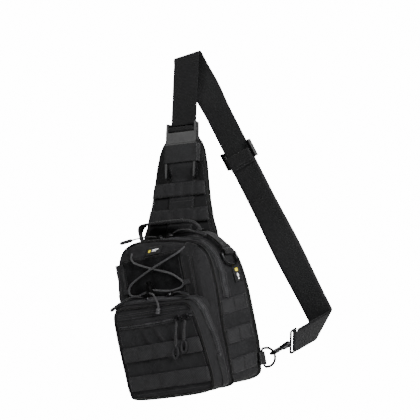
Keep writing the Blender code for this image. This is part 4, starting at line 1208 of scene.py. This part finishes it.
def build_keeper():
    """Elastic band round the buckle."""
    rows = []
    for z in steps_between(130.5, 163.5, 17):
        row = []
        for k in range(64):
            angle = 2 * math.pi * k / 64
            c, s = math.cos(angle), math.sin(angle)
            x = 34.4 * math.copysign(abs(c) ** 0.28, c)
            y = 7.5 * math.copysign(abs(s) ** 0.42, s) + crumple((x, s * 9, z), 19.0, 0.35, 14.0)
            row.append(NECK @ Vector((BUCKLE_X + x, -17.0 + y, z)))
        rows.append(row)
    keeper = grid_piece("keeper_band", rows, ELASTIC, closed=True)
    finished(keeper, "buckle_keeper", 1.3, 0.0)
    soften(keeper, 0.4)


# ---------------------------------------------------------------- shoulder strap

STRAP_HALF = 25.0
SECOND_LAYER = -2.8         # how far behind the strap's front its second layer lies
EDGE_TURN = 5.5             # how far the back run's edges turn towards the front


class Strap:
    """Stations of the webbing: its middle, direction and face normal change at each slanted fold."""

    def __init__(self, middle, along, normal):
        self.middle, self.along, self.normal = Vector(middle), Vector(along), Vector(normal)
        self.stations = []

    def across(self):
        return self.along.cross(self.normal).normalized()

    def mark(self):
        half = self.across() * STRAP_HALF
        self.stations.append((self.middle - half, self.middle + half, self.normal.copy()))

    def advance(self, distance, steps):
        for _ in range(steps):
            self.middle = self.middle + self.along * (distance / steps)
            self.mark()

    def fold(self, slant, bend, radius, steps=14):
        across = self.across()
        crease = across * math.cos(slant) + self.along * math.sin(slant)
        inward = self.along * math.cos(slant) - across * math.sin(slant)
        axis = self.middle - self.normal * radius
        reach = STRAP_HALF / math.cos(slant)
        for i in range(steps + 1):
            angle = bend * i / steps
            normal = self.normal * math.cos(angle) + inward * math.sin(angle)
            centre = axis + normal * radius + crease * (radius * angle * math.tan(slant))
            self.stations.append((centre - crease * reach, centre + crease * reach, normal))
        turned_in = inward * math.cos(bend) - self.normal * math.sin(bend)
        self.middle, self.normal = centre, normal
        self.along = crease * math.sin(slant) + turned_in * math.cos(slant)


def bend_towards(strap, slant, target):
    across = strap.across()
    crease = across * math.cos(slant) + strap.along * math.sin(slant)
    inward = strap.along * math.cos(slant) - across * math.sin(slant)
    after = (target - crease * target.dot(crease)).normalized()
    return math.atan2(-after.dot(strap.normal), after.dot(inward)) % (2 * math.pi)


def aim_fold(strap, goal, radius, wrap):
    middle = strap.middle
    for _ in range(6):
        target = (goal - middle).normalized()
        crease = strap.normal.cross(strap.along - target).normalized()
        if crease.dot(strap.across()) < 0:
            crease = -crease
        slant = math.asin(crease.dot(strap.along))
        bend = bend_towards(strap, slant, target)
        trial = Strap(strap.middle, strap.along, strap.normal)
        trial.fold(slant, bend, radius)
        middle = trial.middle - trial.normal * wrap
    return slant, bend


def ring_contact():
    """Return the world point where the hook holds the lower right ring."""
    angle, rise = math.radians(65.0), math.radians(20.0)
    out = Vector((math.cos(angle), math.sin(angle), 0))
    point = Vector((126.0, -5.0, 32.0)) + out * 8.0
    point += (out * math.cos(rise) + Vector((0, 0, math.sin(rise)))) * 16.0
    return BODY @ point


def strap_stations():
    """Repeat the CAD's strap route with more stations."""
    path = arc((-17.0, 192.5), 4.0, 0, -15)
    path += [(-20.4, 194.6), (-17.2, 197.2), (-13.4, 199.4), (-12.6, 204.0), (-12.4, 212.0)]
    path = [Vector((BUCKLE_X, y, z)) for y, z in path]
    stations = []
    half = NECK_TURN @ Vector((STRAP_HALF, 0, 0))
    for point, along in zip(path, tangents(path)):
        normal = NECK_TURN @ along.cross(Vector((1, 0, 0))).normalized()
        centre = NECK @ point
        stations.append((centre - half, centre + half, -normal))
    wrapped = len(stations)

    yaw = math.radians(8.0)
    normal = Vector((math.sin(yaw), -math.cos(yaw), 0.0))
    strap = Strap(normal * 4.0, Vector((0.0, 0.0, 1.0)), normal)
    start = stations[-1]
    below = strap.middle - strap.along * 14.0
    half = strap.across() * STRAP_HALF
    rise = (below - half, below + half, normal)
    for k in range(1, 25):
        stations.append(tuple(a.lerp(b, k / 24) for a, b in zip(start, rise)))
    slant = math.radians(13.8)
    down = Vector((0.4501, 0.1407, -0.8819)).normalized()
    strap.fold(slant, bend_towards(strap, slant, down), 4.0)
    strap.advance(14.0, 2)
    glide = (strap.middle + strap.along * 184.0, strap.along.copy(), strap.normal.copy())
    strap.advance(525.0 - 14.0 - 34.0, 90)
    doubled = len(stations) + len(strap.stations) - 1
    strap.middle = strap.middle + strap.along * 34.0
    contact = ring_contact()
    strap.fold(*aim_fold(strap, contact, 5.5, 3.6), 5.5)
    strap.middle = contact - strap.along * 58.8 + strap.normal * 3.6
    strap.mark()
    strap.advance(12.0, 3)
    eye = (strap.middle.copy(), strap.along.copy(), strap.normal.copy())
    strap.fold(0.0, math.pi, 3.6)
    strap.advance(5.0, 2)
    return stations + strap.stations, wrapped, glide, doubled, eye


def strap_rows(stations, turn, shift=0.0, calm=None, steps=10, seed=1.3):
    """Return rows across the webbing with slight waves and curled edges away from its fixed places.

    turn(middle, normal) says how far the webbing's edges are turned out of its plane there.
    """
    middles = [(left + right) / 2 for left, right, _ in stations]
    rows = []
    travelled = 0.0
    for i, (left, right, normal) in enumerate(stations):
        if i:
            travelled += (middles[i] - middles[i - 1]).length
        free = calm(i, middles[i]) if calm else 0.0
        sway = crumple((travelled, 0, 0), 95.0, 2.2, seed) + crumple((travelled, 5, 0), 30.0, 0.35, seed)
        sway *= free
        twist = crumple((travelled, 40, 0), 130.0, 1.5, seed) * free + turn(middles[i], normal)
        row = []
        for s in steps_between(-1.0, 1.0, steps + 1):
            curl = 0.7 * s * s * free * noise.noise(Vector((travelled / 60.0, seed, 3.0)))
            row.append(left.lerp(right, (s + 1.0) / 2) + normal * (shift + sway + s * twist + curl))
        rows.append(row)
    return rows


def build_strap():
    stations, wrapped, glide, doubled, eye = strap_stations()
    g_middle, g_along, g_normal = glide
    last = len(stations) - 22

    def calm(i, middle):
        """Return how free the webbing is to wave: nothing at the buckle, folds, glide and eye."""
        ends = clamp(min((i - wrapped) / 8.0, (last - i) / 6.0))
        near = clamp((abs((middle - g_middle).dot(g_along)) - 95.0) / 60.0)
        return ends * near * (1.0 if i < doubled - 60 else 0.25)

    def turn(middle, normal):
        """Return the back run's slight turn towards the front, above and below the glide."""
        down = (middle - g_middle).dot(g_along)
        if normal.dot(g_normal) < 0.99:
            return 0.0
        for high, low in ((-184.0, -80.0), (80.0, 300.0)):
            if high < down < low:
                return EDGE_TURN * math.sin(math.pi * (down - high) / (low - high)) ** 2
        return 0.0

    rows = strap_rows(stations, turn, calm=calm)
    strap = finished(grid_piece("long_strap", rows, STRAP_WEB), "shoulder_strap", 2.1, 0.0)
    soften(strap, 0.5, 50)

    half = g_along.cross(g_normal).normalized() * STRAP_HALF
    run = [stations[k] for k in range(doubled - 72, doubled + 1)]
    start = g_middle + g_along * 87.0
    run = [s for s in run if ((s[0] + s[1]) / 2 - start).dot(g_along) > 0.5]
    lower = [(start - half, start + half, g_normal)] + run + stations[doubled + 1:len(stations) - 18]
    rows = strap_rows(lower, turn, SECOND_LAYER)
    finished(grid_piece("doubled_layer", rows, STRAP_WEB), "strap_second_layer", 2.1, 0.0)

    end = g_middle + g_along * 22.0
    centres = [start.lerp(end, k / 32) for k in range(33)]
    rows = strap_rows([(centre - half, centre + half, g_normal) for centre in centres], turn, SECOND_LAYER)
    bridge = grid_piece("adjusted_layer", rows, STRAP_WEB, body=None)
    finished(bridge, None, 2.1, 0.0)
    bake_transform(bridge)
    build_adjuster(g_middle, g_along, g_normal)
    build_strap_seams(eye)


def build_adjuster(middle, along, normal):
    """Short loop sewn round the glide's middle bar, its two plies stitched together."""
    x_axis = along.cross(normal).normalized()
    y_axis = along.cross(x_axis).normalized()
    path = [(2.9, 24.0), (2.8, 16.0), (2.7, 8.0)]
    path += arc((5.6, 0.0), 2.9, 180, 15)
    path += [(7.8, 8.0), (6.2, 14.0), (5.0, 24.0)]
    rows = []
    for y, z in path:
        centre = middle + y_axis * y + along * z
        rows.append([centre + x_axis * (STRAP_HALF * (k / 5 - 1)) for k in range(11)])
    loop = grid_piece("adjuster_band", rows, STRAP_WEB, body="tri_glide")
    finished(loop, "adjuster_loop", 1.7, 0.0)
    lines = []
    for level in (17.0, 21.5):
        points = [middle + y_axis * 6.6 + along * level + x_axis * x for x in range(-22, 23, 4)]
        lines += stitch_places(points, [y_axis], 3.2, height=0.4)
    blocks("adjuster_stitches", lines, THREAD, body="tri_glide")


def build_strap_seams(eye):
    """Stitch lines that close the strap round the hook's eye."""
    middle, along, normal = eye
    across = along.cross(normal).normalized()
    lines = []
    for back in (14.0, 18.0, 30.0):
        points = [middle - along * back + normal * 1.3 + across * x for x in range(-22, 23, 4)]
        lines += stitch_places(points, [normal], 3.2)
    blocks("eye_stitches", lines, THREAD)


# ---------------------------------------------------------------- ring tabs

def build_shoulder_tabs():
    """Webbing from each upper ring over the bag's shoulder to the foot of the neck."""
    for side, label in SIDES:
        keys = [(109.0, -31.0, 228.0), (103.0, -30.0, 235.0), (93.0, -28.0, 244.5), (80.0, -25.0, 254.0),
                (66.0, -22.0, 261.0)]
        points = open_curve([(side * x, y, z) for x, y, z in keys], 30)
        rows = []
        for point, along in zip(points, tangents(points)):
            out = Vector((-along.z, 0, along.x))
            if out.z < 0:
                out = -out
            rows.append([BODY @ (point + Vector((0, 11.0 * (j / 3 - 1), 0)) + out * 1.2) for j in range(7)])
        finished(grid_piece("shoulder_tab_" + label, rows, WEB_UPRIGHT), None, 1.7)


def build_ring_tabs():
    """Short webbing loops that hold the four D-rings, each with a row of tack stitches on both faces."""
    specs = []
    for side, label in SIDES:
        across = Vector((side * 0.18, 1, 0)).normalized()
        toward = Vector((side * 0.43, 0, -0.9)).normalized()
        face = (toward.cross(across) * side).normalized()
        specs.append(("upper_" + label, Vector((side * 112.5, -30.0, 220.5)), across, toward, face, 13.0))
    angle = math.radians(65.0)
    for label, pivot, out in (("right", (126.0, -5.0, 32.0), Vector((math.cos(angle), math.sin(angle), 0))),
                              ("left", (-128.0, -6.0, 28.0), Vector((-1, 0, 0)))):
        specs.append(("lower_" + label, Vector(pivot), UP, out, out.cross(UP).normalized(), 7.0))
    places = []
    for label, pivot, across, toward, face, length in specs:
        keys = [(-length, 1.1), (-6.0, 1.3)] + arc((0.0, 0.0), 3.6, 120, -15, 17)
        keys += [(-6.0, -1.3), (-length, -1.1)]
        points = [pivot + toward * a + face * b for a, b in keys]
        rows = [[BODY @ (p + across * (11.0 * (k / 3 - 1))) for k in range(7)] for p in points]
        finished(grid_piece("tab_" + label, rows, WEB_UPRIGHT), "ring_tab_" + label, 1.7, 0.0)
        for k in range(9):
            for sign in (1, -1):
                spot = pivot - toward * 6.2 + face * (2.2 * sign) + across * (2.2 * (k - 4))
                axes = [BODY_TURN @ axis for axis in (toward, across, face * sign)]
                places.append((BODY @ spot, *axes, (2.4, 1.4, 0.4)))
    blocks("tab_tacks", places, THREAD)


# ---------------------------------------------------------------- hard parts kept from the CAD

KEPT = {
    "buckle_female": (PLASTIC, "plastic", 0.8), "buckle_male": (PLASTIC, "plastic", 0.8),
    "buckle_arm_right": (PLASTIC, "plastic", 0.7), "buckle_arm_left": (PLASTIC, "plastic", 0.7),
    "tri_glide": (PLASTIC_DARK, "plastic", 0.7), "cord_lock_body": (PLASTIC_DARK, "plastic", 0.5),
    "cord_lock_button": (PLASTIC_DARK, "plastic", 0.5), "cord_lock_spring": (METAL, "black_metal", 0.0),
    "hook_body": (METAL, "black_metal", 0.4), "hook_eye": (METAL, "black_metal", 0.4),
    "hook_bolt": (METAL, "black_metal", 0.3), "hook_spring": (METAL, "black_metal", 0.0),
}


def dress_kept():
    for name in ("main_left", "main_right", "pocket_left", "pocket_right", "small_left", "small_right"):
        KEPT[name + "_slider"] = (METAL, "black_metal", 0.35)
    for name in ("upper_right", "upper_left", "lower_right", "lower_left"):
        KEPT["d_ring_" + name] = (METAL, "black_metal", 0.0)
    for name, (finish, slot, width) in KEPT.items():
        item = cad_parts[name]
        item.data.materials.clear()
        item.data.materials.append(finish)
        if width:
            soften(item, width, 30)


build_camera()
build_stage()
build_shell()
build_back()
build_pocket()
build_rows()
build_front()
build_zips()
build_pulls()
build_bungee()
build_tail()
build_handle()
build_neck()
build_strap()
build_shoulder_tabs()
build_ring_tabs()
dress_kept()
